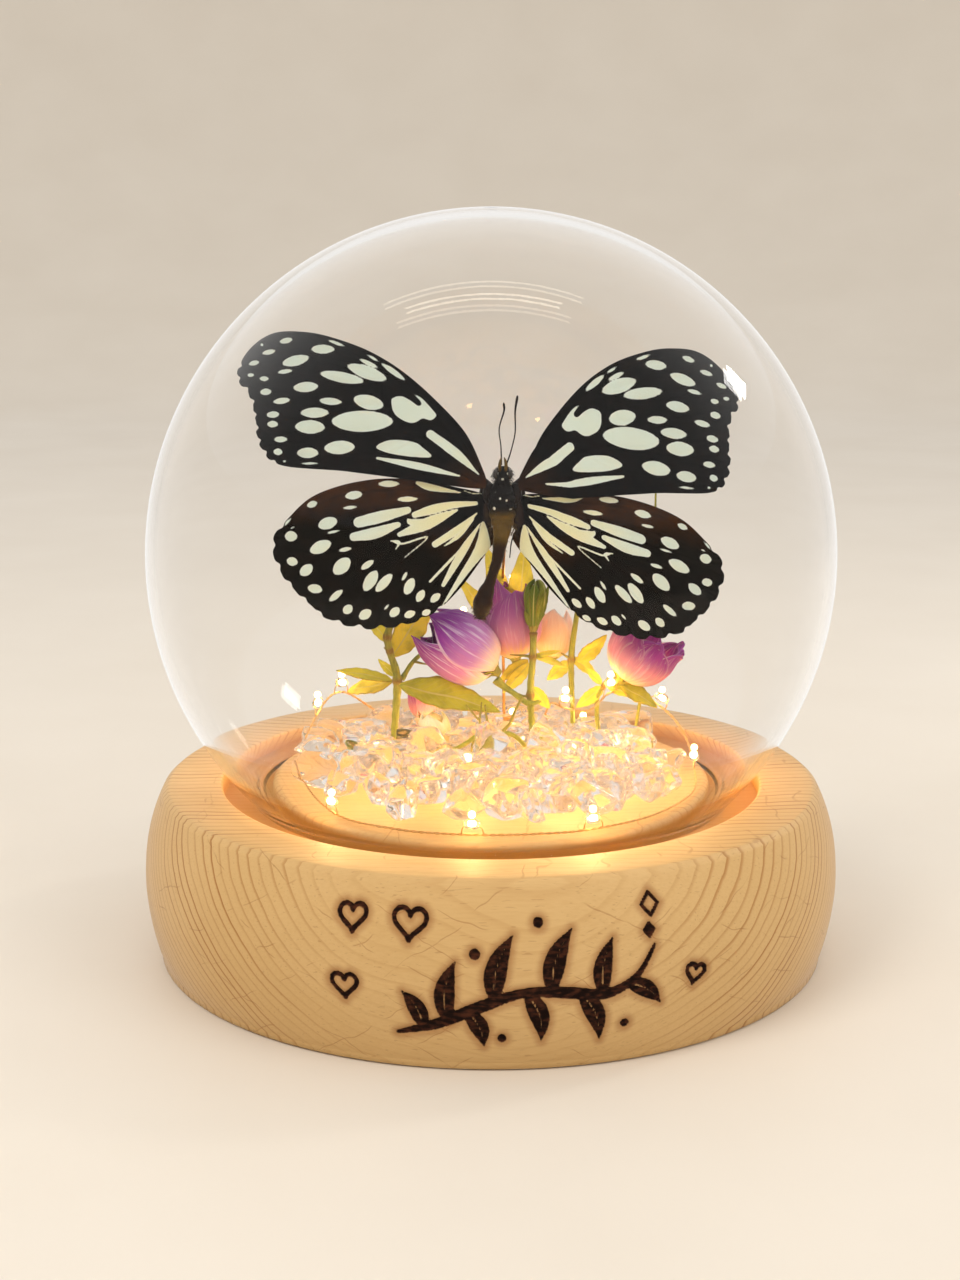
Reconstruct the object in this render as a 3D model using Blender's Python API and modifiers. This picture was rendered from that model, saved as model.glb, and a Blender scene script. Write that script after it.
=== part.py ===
"""Butterfly under a glass globe: a turned wooden base with a round glass globe standing in its
groove, a butterfly with open wings on a wire, dried flowers on their stems, a string of small
lights and a heap of clear crystals on the base's raised middle.

Metres, +Z up. The origin is the middle of the base's underside, on the table. The front, which
the butterfly's back faces, is -Y.
"""
import math
import random

import bmesh
import bpy
from mathutils import Matrix, Vector
from mathutils.bvhtree import BVHTree

MM = 0.001
GAP = 0.3                 # left between pieces that touch, mm

# Base, mm
BASE_H = 30.5             # to the flat rim
RIM_R = 57.8              # outer edge of the rim
BULGE_R = 61.7            # widest, where the side bellies out
BULGE_Z = 13.7
FOOT_R = 58.4             # on the table
GROOVE_R = 47.8           # outer wall of the groove
STAGE_R = 39.4            # raised middle, level with the rim
GROOVE_DEPTH = 3.0
STAGE_FILLET = 1.4

# Globe, mm
GLOBE_R = 60.0
GLASS = 1.6
GLOBE_Z = BASE_H + 39.7   # centre of the ball
GLOBE_FOOT = BASE_H - GROOVE_DEPTH + GAP

# Butterfly, mm
THORAX = Vector((1.9, -4.6, 80.8))
WING_THICK = 0.3
DIHEDRAL = math.radians(6)      # the wings lift towards the front
FORE_Y, HIND_Y = -5.1, -4.2     # the forewings lie over the hindwings
LEFT_ROOT = Vector((-0.5, 0, 83.3))
RIGHT_ROOT = Vector((4.4, 0, 83.3))

# Plants and lights, mm
STEM_R = 0.5
LEAF_THICK = 0.25
WIRE_R = 0.25
LIGHT_R, LIGHT_LENGTH = 0.9, 2.8
CRYSTAL_SEED = 11

# Bed of small crystals on the raised middle, mm
BED_MIDDLE = (1.0, 1.5)
BED_R = (29.0, 25.0)      # across and front to back
BED_H = 4.4


def clear_scene():
    for thing in list(bpy.data.objects):
        bpy.data.objects.remove(thing, do_unlink=True)


def collection(name):
    made = bpy.data.collections.new(name)
    bpy.context.scene.collection.children.link(made)
    return made


def material(name, colour, roughness, metallic=0.0, transmission=0.0, emission=0.0):
    made = bpy.data.materials.new(name)
    made.use_nodes = True
    shader = made.node_tree.nodes["Principled BSDF"]
    shader.inputs["Base Color"].default_value = (*colour, 1)
    shader.inputs["Roughness"].default_value = roughness
    shader.inputs["Metallic"].default_value = metallic
    shader.inputs["Transmission Weight"].default_value = transmission
    if emission:
        shader.inputs["Emission Color"].default_value = (*colour, 1)
        shader.inputs["Emission Strength"].default_value = emission
    made.diffuse_color = (*colour, 1)
    return made


def add(name, data, paint, location=(0, 0, 0)):
    """Links an object of this data, placed in mm."""
    thing = bpy.data.objects.new(name, data)
    PARTS.objects.link(thing)
    data.materials.append(paint)
    thing.location = Vector(location) * MM
    return thing


def smooth(points, steps=4):
    """A Catmull-Rom curve through the points, with this many spans between each two."""
    points = [Vector(p) for p in points]
    ends = [points[0] * 2 - points[1]] + points + [points[-1] * 2 - points[-2]]
    line = []
    for a, b, c, d in zip(ends, ends[1:], ends[2:], ends[3:]):
        for k in range(steps):
            t = k / steps
            line.append(0.5 * (2 * b + (c - a) * t + (2 * a - 5 * b + 4 * c - d) * t * t
                               + (3 * b - a - 3 * c + d) * t ** 3))
    return line + [points[-1]]


def tube(name, points, radius, paint, sides=2):
    """A round bar along points in mm. A fourth number in a point scales its radius."""
    data = bpy.data.curves.new(name, "CURVE")
    data.dimensions = "3D"
    data.bevel_depth = radius * MM
    data.bevel_resolution = sides
    data.use_fill_caps = True
    line = data.splines.new("POLY")
    line.points.add(len(points) - 1)
    for at, p in zip(line.points, points):
        at.co = (p[0] * MM, p[1] * MM, p[2] * MM, 1)
        at.radius = p[3] if len(p) > 3 else 1
    return add(name, data, paint)


def turned(name, profile, steps, paint):
    """A closed profile of (radius, height) in mm, its outer side running down, turned about Z."""
    data = bpy.data.meshes.new(name)
    data.from_pydata([(r * MM, 0, z * MM) for r, z in profile],
                     [(i, i + 1) for i in range(len(profile) - 1)], [])
    thing = add(name, data, paint)
    screw = thing.modifiers.new("turn", "SCREW")
    screw.steps = screw.render_steps = steps
    screw.use_merge_vertices = True
    screw.merge_threshold = 0.00002
    screw.use_smooth_shade = True
    return thing


def plate(name, outline, thick, paint):
    """A flat outline in mm, filled and given a thickness, lying in its own XY plane."""
    data = bpy.data.curves.new(name, "CURVE")
    data.dimensions = "2D"
    data.fill_mode = "BOTH"
    data.extrude = thick * MM / 2
    line = data.splines.new("POLY")
    line.points.add(len(outline) - 1)
    for at, p in zip(line.points, outline):
        at.co = (p[0] * MM, p[1] * MM, 0, 1)
    line.use_cyclic_u = True
    return add(name, data, paint)


def side_radius(z):
    """Radius of the base's turned side at this height: a full belly over a tucked-in foot."""
    if z >= BULGE_Z:
        t = (BASE_H - z) / (BASE_H - BULGE_Z)
        return RIM_R + (BULGE_R - RIM_R) * (1 - (1 - t) ** 2.39)
    t = z / BULGE_Z
    return FOOT_R + (BULGE_R - FOOT_R) * (1 - (1 - t) ** 1.5) ** (1 / 1.5)


def base():
    top, floor = BASE_H, BASE_H - GROOVE_DEPTH
    arc = [(STAGE_R - STAGE_FILLET * (1 - math.sin(a)), top - STAGE_FILLET * (1 - math.cos(a)))
           for a in (0, math.pi / 6, math.pi / 3, math.pi / 2)]
    side = [(side_radius(z), z) for z in (top, 26, 21.5, 17, BULGE_Z, 10, 6.5, 3.5, 1.2, 0)]
    profile = [(0, top)] + arc + [(STAGE_R, floor), (GROOVE_R, floor), (GROOVE_R, top)]
    turned("wood_base", profile + side + [(0, 0)], 44, WOOD)


def ball_arc(radius, foot_z, count):
    """Points from the top of the ball down to the height foot_z, in mm."""
    last = math.acos((foot_z - GLOBE_Z) / radius)
    return [(radius * math.sin(last * i / count), GLOBE_Z + radius * math.cos(last * i / count))
            for i in range(count + 1)]


def globe():
    outer = ball_arc(GLOBE_R, GLOBE_FOOT, 13)
    inner = ball_arc(GLOBE_R - GLASS, GLOBE_FOOT, 13)
    turned("glass_globe", outer + inner[::-1], 36, GLASS_CLEAR)


def body():
    """Head, thorax and a long waisted abdomen that hangs down and to the left."""
    line = [(2.05, -5.0, 86.4, 0.5), (2.05, -5.1, 85.6, 1.15), (2.0, -5.2, 84.4, 1.3),
            (1.95, -4.9, 83.4, 1.6), (1.9, -4.6, 82.0, 2.25), (1.9, -4.6, 79.8, 2.4),
            (1.95, -4.8, 77.6, 2.1), (1.9, -5.4, 75.6, 1.6), (1.5, -6.0, 73.0, 1.2),
            (1.1, -6.1, 70.6, 1.0), (0.5, -6.1, 68.6, 0.9), (-0.1, -6.0, 66.8, 0.95),
            (-0.8, -5.9, 64.9, 1.4), (-1.4, -5.8, 62.9, 1.7), (-1.7, -5.7, 61.2, 1.35),
            (-1.8, -5.7, 60.0, 0.6)]
    tube("butterfly_body", line, 1.0, CHITIN, 4)


def antennae():
    """Two hairs from the brow that cross and end in small clubs."""
    left = [(1.8, -5.0, 87.1), (1.7, -4.7, 90), (1.4, -4.6, 93), (2.2, -4.6, 96.0, 1.3),
            (2.2, -4.6, 97.0, 1.6)]
    right = [(2.6, -5.4, 87.1), (3.4, -5.6, 89.3), (4.1, -5.7, 92.5), (4.1, -5.7, 96, 1.4),
             (4.4, -5.7, 98.4, 1.8)]
    for name, line in (("antenna_left", left), ("antenna_right", right)):
        tube(name, line, 0.16, CHITIN, 1)


# Wing outlines in mm from the root, out along the wing and up. Only the left pair is drawn.
FOREWING = [(0.3, 0.2), (1.2, 3.6), (4.0, 9.3), (9.3, 15.1), (14.6, 19.7), (20.0, 23.0),
            (25.5, 25.1), (30.5, 26.2), (36.0, 26.0), (40.2, 23.1), (42.2, 18.9), (40.2, 15.6),
            (39.4, 11.5), (38.8, 7.5), (35.5, 4.0), (25.0, 2.9), (15.0, 1.5), (2.5, -0.4)]
HINDWING = [(0.9, -1.6), (5.8, -0.2), (11.1, 1.0), (15.3, 1.4), (20.5, 1.2), (25.5, 0.2),
            (30.5, -1.8), (34.2, -5.2), (36.9, -8.6), (36.7, -12.6), (34.6, -16.6),
            (31.2, -20.2), (28.2, -22.8), (24.0, -24.3), (19.5, -24.8), (13.5, -24.0),
            (9.0, -21.9), (4.8, -17.8), (1.2, -13.0), (-1.2, -9.6), (-1.4, -8.0), (0.7, -6.2),
            (0.9, -4.0)]


def set_of_wing(side, pair):
    """How a wing of this side lies in its plane. The right pair has settled: each wing there
    is turned down and drawn in a little, by (shift, along, across) for out and for up."""
    if side == "left":
        return (0, 1, 0), (0, 0, 1)
    if pair == "fore":
        return (1.51, 0.925, -0.164), (-1.87, -0.084, 1.067)
    return (-0.09, 0.939, -0.104), (-1.15, -0.094, 0.943)


def lay_wing(side, pair, points):
    out, up = set_of_wing(side, pair)
    laid = []
    for u, v in points:
        t = min(1, math.hypot(u, v) / 9)      # the root itself stays at the body
        x = out[0] * t + out[1] * u + out[2] * v
        laid.append((x if side == "right" else -x, up[0] * t + up[1] * u + up[2] * v))
    return laid


def wings():
    for pair, outline, y in (("fore", FOREWING, FORE_Y), ("hind", HINDWING, HIND_Y)):
        for side, root, turn in (("left", LEFT_ROOT, 1), ("right", RIGHT_ROOT, -1)):
            closed = smooth([(*p, 0) for p in outline + outline[:1]], 2)[:-1]
            flat = lay_wing(side, pair, [(p.x, p.y) for p in closed])
            wing = plate(f"{pair}wing_{side}", flat, WING_THICK, WING)
            wing.location = Vector((root.x, y, root.z)) * MM
            wing.rotation_euler = (math.pi / 2, 0, turn * DIHEDRAL)


def support():
    """The wire that holds the butterfly, from behind the thorax down into the crystals."""
    line = smooth([(2.9, -1.6, 79.0), (2.6, 0.6, 74.5), (2.3, 6.4, 68.6), (2.2, 12.2, 63.0),
                   (2.2, 14.2, 56.0), (2.4, 14.4, 44.0), (2.6, 14.4, BASE_H + GAP)], 3)
    tube("support_wire", line, 0.4, RUST, 1)


def stems():
    main = [(7.7, 2, BASE_H + GAP), (7.5, 2, 38), (7.1, 2, 45), (7.5, 2, 51), (7.6, 2, 56.4)]
    left = [(-17.5, 5, BASE_H + GAP), (-17.6, 5, 36), (-16.9, 5, 46.4), (-18.1, 5, 51.5),
            (-18.6, 5, 54.5), (-17.7, 5, 58.5), (-17.4, 5, 66)]
    branch = [(-16.1, 5.4, 46.6), (-14.2, 7.0, 49.4), (-11.6, 8.2, 51.6)]
    bud = [(0.9, 1.5, 47.6, 1.7), (2.2, 1.4, 46.4, 1.3), (4.0, 1.2, 45.2), (5.4, 0.8, 44.2),
           (6.9, 0.4, 43.4), (9.0, 0.2, 43.9, 0.7)]
    low = [(-7.2, -4.4, 35.8), (-4.5, -4.2, 37.2), (-1.5, -3.6, 39.0), (1.8, -2.8, 38.8),
           (4.0, -2.0, 38.2), (5.6, -1.0, 36.6), (6.2, 0.2, 35.6)]
    right = [(20.0, 3, BASE_H + GAP), (19.4, 3, 37), (19.2, 3, 43.6), (20.6, 3, 46.4),
             (22.0, 3, 48.0)]
    middle = [(15.4, 9, BASE_H + GAP), (15.0, 9, 40), (14.7, 9, 50), (15.6, 9, 58), (15.9, 9, 64)]
    tall = [(26.2, 12, BASE_H + GAP), (28.0, 12, 44), (29.6, 12, 62), (29.8, 12, 84)]
    for name, line, r in (
            ("stem_main", main, 0.62), ("stem_left", left, 0.6), ("stem_left_branch", branch, 0.4),
            ("stem_bud", bud, 0.5), ("stem_low", low, 0.42), ("stem_right", right, 0.42),
            ("stem_middle", middle, 0.45), ("stem_tall", tall, 0.3)):
        ends = [(*p[:3], p[3] if len(p) > 3 else 1) for p in line]
        curve = smooth([p[:3] for p in ends], 3)
        scale = smooth([(p[3], 0, 0) for p in ends], 3)
        tube(name, [(*p, s.x) for p, s in zip(curve, scale)], r, STEM, 1)


def along(thing, start, end, normal=(0, -1, 0)):
    """Lays the object's own Z (a flower) or X (a leaf) from start to end, in mm."""
    thing.location = Vector(start) * MM
    line = (Vector(end) - Vector(start)).normalized()
    across = Vector(normal).cross(line).normalized()
    facing = line.cross(across)
    if thing.type == "CURVE":
        turn = Matrix((line, across, facing)).transposed()
    else:
        turn = Matrix((across, facing, line)).transposed()
    thing.rotation_euler = turn.to_euler()


def flower(name, start, end, radius, fullness, paint):
    """A closed flower or bud from its stem to its tips. fullness under 1 puts its belly low."""
    length = (Vector(end) - Vector(start)).length
    profile = [(0, length)]
    for i in range(1, 8):
        t = 1 - i / 8
        profile.append((radius * math.sin(math.pi * t ** fullness) ** 0.75, length * t))
    along(turned(name, profile + [(0, 0)], 12, paint), start, end)


def flowers():
    flower("flower_front", (0.2, 1.5, 48.5), (-13.0, 1.5, 55.6), 5.0, 0.8, PETAL)
    flower("flower_back", (4.4, 7.2, 50.6), (2.3, 7.2, 65.6), 4.6, 0.85, PETAL)
    flower("flower_cup", (23.6, 3.4, 47.4), (30.6, 3.4, 56.6), 6.2, 1.0, PETAL)
    flower("flower_peach", (11.4, 12.0, 49.4), (11.8, 12.0, 58.6), 3.4, 0.9, PETAL_PALE)
    flower("flower_cream", (-9.6, 0.8, 35.6), (-10.6, 0.8, 42.0), 2.9, 0.9, PETAL_PALE)
    flower("flower_pink", (-12.2, 9.0, 38.6), (-13.2, 9.0, 45.2), 2.4, 0.9, PETAL)
    flower("bud_green", (7.6, 2.0, 56.8), (8.1, 2.0, 65.8), 2.0, 1.1, LEAF)


def leaf(name, start, end, width, normal):
    """A pointed leaf, widest before its middle."""
    length = (Vector(end) - Vector(start)).length
    rise = [(length * t, width / 2 * math.sin(math.pi * t ** 0.8) ** 0.8)
            for t in (0.1, 0.22, 0.36, 0.5, 0.65, 0.8, 0.92)]
    fall = [(x, -y) for x, y in reversed(rise)]
    along(plate(name, [(0, 0)] + rise + [(length, 0)] + fall, LEAF_THICK, LEAF), start, end,
          normal)


def leaves():
    leaf("leaf_broad", (-16.4, 3.8, 46.0), (1.6, -3.4, 43.6), 6.4, (0.0, -0.75, 1))
    leaf("leaf_left", (-17.9, 4.6, 46.6), (-27.6, 3.0, 49.2), 2.6, (0.2, -0.7, 1))
    leaf("leaf_left_low", (-17.8, 6.2, 46.0), (-26.6, 9.4, 43.6), 4.4, (0, -0.8, 1))
    leaf("leaf_left_back", (-17.9, 6.6, 50.6), (-10.6, 12.4, 60.6), 5.4, (0.3, -1, 0.2))
    leaf("leaf_right", (23.4, 1.8, 46.4), (29.8, -0.6, 43.2), 3.4, (0.1, -0.8, 1))
    leaf("leaf_middle", (15.9, 8.4, 49.2), (21.0, 6.6, 54.4), 3.0, (0.6, -1, 0.3))
    leaf("leaf_main", (6.7, 3.0, 50.8), (1.6, 4.4, 46.6), 2.6, (0.4, -1, 0.4))


# The light string's route over the heap, mm: up among the left leaves, forward over the
# crystals' feet, and back round on the right
STRING = [(-14, 17, 36.4), (-20.5, 14.6, 38), (-27.4, 10.5, 43.0), (-31.2, 3, 41), (-33.6, -8, 34),
          (-26.5, -24.6, 31.2), (-15, -33.4, 31.1), (-3.0, -36.2, 31.1), (8, -35.6, 31.1),
          (16.6, -33.0, 31.1), (27, -25.6, 31.1), (35.0, -13.5, 31.2), (36.4, -2, 32.6),
          (35.2, 6, 36.6), (31.4, 8.6, 40.6), (26.0, 7.4, 43.4), (21.4, 0.6, 45.4),
          (17.6, -0.4, 42.4), (13.4, 0.2, 42.6), (11.0, 6.0, 42), (9.8, 13, 37.5),
          (8.2, 18.5, 36.4)]
LIGHTS_AT = (2, 3, 5, 7, 9, 12, 14, 16, 18)


def lights():
    """A fine wire with small lights, each a drop of clear resin that sits on the wire."""
    tube("light_wire", smooth(STRING, 3), WIRE_R, COPPER, 1)
    for number, at in enumerate(LIGHTS_AT, 1):
        run = (Vector(STRING[at + 1]) - Vector(STRING[at - 1])).normalized()
        mesh = bpy.data.meshes.new("light")
        form = bmesh.new()
        bmesh.ops.create_uvsphere(form, u_segments=8, v_segments=6, radius=LIGHT_R * MM)
        bmesh.ops.scale(form, vec=(1, 1, LIGHT_LENGTH / 2 / LIGHT_R), verts=form.verts)
        form.to_mesh(mesh)
        form.free()
        over = Vector(STRING[at]) + Vector((0, 0, WIRE_R + GAP + LIGHT_R + 0.35))
        drop = add(f"light_{number:02d}", mesh, LIGHT, over)
        drop.rotation_euler = run.to_track_quat("Z", "Y").to_euler()


def cutter(name, at, radius):
    """An upright bar that makes room in the bed for what stands in it."""
    data = bpy.data.meshes.new(name)
    form = bmesh.new()
    bmesh.ops.create_cone(form, cap_ends=True, segments=8, radius1=radius * MM,
                          radius2=radius * MM, depth=30 * MM)
    form.to_mesh(data)
    form.free()
    bar = bpy.data.objects.new(name, data)
    CUTTERS.objects.link(bar)
    bar.location = Vector((*at, BASE_H + 10)) * MM
    bar.hide_render = True
    bar.display_type = "WIRE"
    return bar


# What stands in the bed: where, and the radius it needs, mm
STANDING = {"stem_main": (7.65, 2.0, 1.0), "stem_left": (-17.5, 5.0, 1.0),
            "stem_right": (19.9, 3.0, 0.9), "stem_middle": (15.35, 9.0, 0.9),
            "stem_tall": (26.4, 12.0, 0.9), "support_wire": (2.5, 14.4, 0.8)}


def bed():
    """The layer of small crystals that the plants stand in, flat on top and sloping out."""
    low = BASE_H + GAP
    profile = [(r * BED_R[0], low + h * BED_H)
               for r, h in ((0, 1), (0.5, 0.98), (0.76, 0.86), (0.93, 0.52), (1.0, 0.12),
                            (1.0, 0), (0, 0))]
    thing = turned("crystal_bed", profile, 24, CRYSTAL)
    thing.location = Vector((*BED_MIDDLE, 0)) * MM
    thing.scale = (1, BED_R[1] / BED_R[0], 1)
    for name, (x, y, radius) in STANDING.items():
        cut = thing.modifiers.new(f"room for {name}", "BOOLEAN")
        cut.object = cutter(f"cut_{name}", (x, y), radius)


# Crystals: where each one is dropped on the heap and its length, mm
CRYSTALS = [(-25.6, -17.6, 9.8), (-14.2, -27.0, 9.8), (-3.6, -29.5, 10.6), (6.6, -29.6, 10.2),
            (17.2, -26.4, 10.6), (26.6, -17.0, 13.0), (-31.5, -5.0, 9.4), (-17.0, -17.5, 10.8),
            (-6.4, -19.0, 11.0), (4.4, -18.6, 11.0), (14.6, -16.0, 10.6), (33.2, -4.6, 9.6),
            (-12.0, -8.5, 11.0), (-1.2, -9.4, 11.6), (9.6, -8.0, 10.4), (20.6, -6.6, 11.0),
            (-22.4, -5.0, 10.6)]


def crystal_mesh(length, rng):
    """A chipped lump: the hull of scattered points, flatter than it is long, edges softened."""
    form = bmesh.new()
    for _ in range(14):
        a, h = rng.uniform(0, 2 * math.pi), rng.uniform(-1, 1)
        ring = math.sqrt(1 - h * h)
        size = rng.uniform(0.85, 1.0) * length / 2
        form.verts.new((size * ring * math.cos(a) * MM, 0.8 * size * ring * math.sin(a) * MM,
                        0.68 * size * h * MM))
    bmesh.ops.convex_hull(form, input=form.verts)
    bmesh.ops.delete(form, geom=[v for v in form.verts if not v.link_faces], context="VERTS")
    bmesh.ops.dissolve_limit(form, angle_limit=math.radians(12), verts=form.verts,
                             edges=form.edges)
    bmesh.ops.recalc_face_normals(form, faces=form.faces)
    turn = Matrix.Rotation(rng.uniform(0, 6.3), 4, "Z") @ Matrix.Rotation(
        rng.uniform(-0.5, 0.5), 4, "X") @ Matrix.Rotation(rng.uniform(-0.5, 0.5), 4, "Y")
    bmesh.ops.transform(form, matrix=turn, verts=form.verts)
    mesh = bpy.data.meshes.new("crystal")
    form.to_mesh(mesh)
    form.free()
    return mesh


def solid_tree(thing, shift=Vector((0, 0, 0))):
    """The object's evaluated surface as (points, triangles), moved by shift."""
    graph = bpy.context.evaluated_depsgraph_get()
    mesh = thing.evaluated_get(graph).to_mesh()
    mesh.calc_loop_triangles()
    points = [thing.matrix_world @ v.co + shift for v in mesh.vertices]
    faces = [tuple(t.vertices) for t in mesh.loop_triangles]
    return points, faces


def clear_of(points, faces, trees):
    """Whether a convex lump keeps the gap to every solid in trees."""
    middle = sum(points, Vector()) / len(points)
    grown = [p + (p - middle).normalized() * 2 * GAP * MM for p in points]
    lump = BVHTree.FromPolygons(grown, faces)
    return not any(lump.overlap(tree) for tree in trees)


def crystals():
    """Each crystal is lowered onto the heap where it is dropped, and comes to rest as low as
    it can near there."""
    rng = random.Random(CRYSTAL_SEED)
    bpy.context.view_layer.update()
    trees = []
    for thing in PARTS.objects:
        if thing.name not in ("glass_globe", "wood_base"):
            points, faces = solid_tree(thing)
            trees.append(BVHTree.FromPolygons(points, faces))
    for number, (x, y, length) in enumerate(CRYSTALS, 1):
        mesh = crystal_mesh(length, rng)
        mesh.calc_loop_triangles()
        faces = [tuple(t.vertices) for t in mesh.loop_triangles]
        low = min(v.co.z for v in mesh.vertices) / MM
        best = None
        for dx, dy in [(0, 0)] + [(s * math.cos(a), s * math.sin(a)) for s in (1, 2)
                                  for a in (0, 1.05, 2.1, 3.14, 4.19, 5.24)]:
            z, rest = BASE_H + GAP - low + 12, None
            while z >= BASE_H + GAP - low:
                shift = Vector((x + dx, y + dy, z)) * MM
                if not clear_of([v.co + shift for v in mesh.vertices], faces, trees):
                    break
                rest = z
                z -= 0.25
            score = None if rest is None else rest + 0.3 * math.hypot(dx, dy)
            if score is not None and (best is None or score < best[0]):
                best = (score, x + dx, y + dy, max(rest, BASE_H + GAP - low))
        if best is None:
            raise ValueError(f"crystal {number} finds no room")
        lump = add(f"crystal_{number:02d}", mesh, CRYSTAL, best[1:])
        bpy.context.view_layer.update()
        trees.append(BVHTree.FromPolygons([lump.matrix_world @ v.co for v in mesh.vertices],
                                          faces))


clear_scene()
PARTS = collection("butterfly_in_glass_globe")
CUTTERS = collection("cutters")
WOOD = material("wood", (0.72, 0.53, 0.31), 0.5)
GLASS_CLEAR = material("glass", (0.96, 0.97, 0.96), 0.02, transmission=1.0)
CHITIN = material("chitin", (0.04, 0.03, 0.02), 0.5)
WING = material("wing", (0.025, 0.018, 0.015), 0.6)
RUST = material("support", (0.12, 0.04, 0.02), 0.5, metallic=0.6)
STEM = material("stem", (0.30, 0.26, 0.05), 0.6)
LEAF = material("leaf", (0.36, 0.34, 0.04), 0.6)
PETAL = material("petal", (0.45, 0.16, 0.34), 0.5)
PETAL_PALE = material("petal_pale", (0.86, 0.62, 0.38), 0.5)
COPPER = material("light_wire", (0.55, 0.28, 0.12), 0.35, metallic=1.0)
LIGHT = material("light", (1.0, 0.78, 0.40), 0.2, emission=4.0)
CRYSTAL = material("crystal", (0.95, 0.94, 0.92), 0.05, transmission=1.0)

base()
globe()
body()
antennae()
wings()
support()
stems()
flowers()
leaves()
lights()
bed()
crystals()
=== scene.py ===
"""Looks of the butterfly under a glass globe: turned and burned wood, thin glass, a spotted
butterfly, dried flowers, clear crystals and a string of warm lights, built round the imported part.

Sizes in this script are in mm unless a name says otherwise; meshes are stored in metres.
The front, which the butterfly's back faces, is -Y.
"""

import random
from math import acos, cos, hypot, pi, radians, sin, sqrt

import bmesh
import bpy
import numpy as np
from mathutils import Euler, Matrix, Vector
from mathutils.geometry import delaunay_2d_cdt
from numpy.linalg import norm


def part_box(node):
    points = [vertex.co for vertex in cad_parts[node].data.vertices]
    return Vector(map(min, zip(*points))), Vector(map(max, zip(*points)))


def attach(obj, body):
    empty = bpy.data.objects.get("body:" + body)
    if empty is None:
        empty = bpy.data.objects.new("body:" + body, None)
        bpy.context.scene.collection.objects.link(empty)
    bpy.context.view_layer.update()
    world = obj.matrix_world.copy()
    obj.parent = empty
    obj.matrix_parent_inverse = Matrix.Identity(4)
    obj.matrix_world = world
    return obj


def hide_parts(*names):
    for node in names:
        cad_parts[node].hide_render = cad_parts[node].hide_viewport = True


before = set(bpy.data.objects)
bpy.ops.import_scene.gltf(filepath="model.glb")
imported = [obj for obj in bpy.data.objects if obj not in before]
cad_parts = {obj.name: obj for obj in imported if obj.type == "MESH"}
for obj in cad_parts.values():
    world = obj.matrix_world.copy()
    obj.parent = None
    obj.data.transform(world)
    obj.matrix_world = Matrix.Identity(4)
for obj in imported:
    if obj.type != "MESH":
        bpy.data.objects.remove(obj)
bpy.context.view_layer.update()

MM = 0.001
BASE_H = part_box("wood_base")[1].z / MM
BULGE_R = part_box("wood_base")[1].x / MM
GLOBE_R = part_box("glass_globe")[1].x / MM
GLOBE_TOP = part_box("glass_globe")[1].z / MM
GLOBE_Z = GLOBE_TOP - GLOBE_R
GLOBE_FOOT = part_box("glass_globe")[0].z / MM
GLASS = 1.6

RIM_R = 57.8              # outer edge of the base's flat rim
FOOT_R = 58.4
BULGE_Z = 13.7
GROOVE_R = 47.8
STAGE_R = 39.4
GROOVE_DEPTH = 3.0
STAGE_FILLET = 1.4

FLOOR_GAP = 0.3           # crystals and stems stand this far over the stage


def box_mm(node):
    """The middle and the half size of a CAD node's box, in mm."""
    low, high = (np.array(corner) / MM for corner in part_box(node))
    return (low + high) / 2, (high - low) / 2


# ---------------------------------------------------------------- curves and outlines

def smooth(points, steps, closed=False):
    """A Catmull-Rom curve through points of any number of values, as an array."""
    p = np.array(points, float)
    if closed:
        a, b, c, d = (np.roll(p, k, axis=0) for k in (1, 0, -1, -2))
    else:
        ends = np.vstack([2 * p[:1] - p[1:2], p, 2 * p[-1:] - p[-2:-1]])
        a, b, c, d = ends[:-3], ends[1:-2], ends[2:-1], ends[3:]
    t = (np.arange(steps) / steps)[:, None, None]
    line = 0.5 * (2 * b + (c - a) * t + (2 * a - 5 * b + 4 * c - d) * t * t
                  + (3 * b - a - 3 * c + d) * t ** 3)
    line = line.transpose(1, 0, 2).reshape(-1, p.shape[1])
    return line if closed else np.vstack([line, p[-1:]])


def even(line, gap, closed=False):
    """The same flat or spatial line with its points this far apart."""
    line = np.vstack([line, line[:1]]) if closed else line
    gaps = norm(np.diff(line[:, :3], axis=0), axis=1)
    run = np.concatenate([[0], np.cumsum(gaps)])
    at = np.linspace(0, run[-1], max(2, round(run[-1] / gap) + 1))
    made = np.stack([np.interp(at, run, line[:, k]) for k in range(line.shape[1])], axis=1)
    return made[:-1] if closed else made


def circle(count):
    """Evenly spaced angles all the way round."""
    return np.linspace(0, 2 * pi, count, endpoint=False)


def turned(profile, count):
    """Rows of points: a profile of (radius, height) swept round in this many steps."""
    profile, turn = np.array(profile), circle(count)
    return np.stack([profile[:, :1] * np.cos(turn), profile[:, :1] * np.sin(turn),
                     np.repeat(profile[:, 1:], len(turn), axis=1)], axis=2)


FAR_OFF = 1e9
TINY = 1e-9               # keeps a division from meeting zero
OVAL_POWER = 1.8          # 2 would be an ellipse; less makes its ends sharper


def to_stroke(at, line):
    """How far each flat point is from a brush stroke of (x, y, half width); under 0 inside."""
    line = np.array(line, float)
    a, run, wide = line[:-1, :2], np.diff(line[:, :2], axis=0), np.diff(line[:, 2])
    best = np.full(len(at), FAR_OFF)
    for start, step, width, grow in zip(a, run, line[:-1, 2], wide):
        t = np.clip(((at - start) @ step) / max(step @ step, TINY), 0, 1)
        gap = norm(at - start - t[:, None] * step, axis=1) - width - t * grow
        best = np.minimum(best, gap)
    return best


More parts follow.
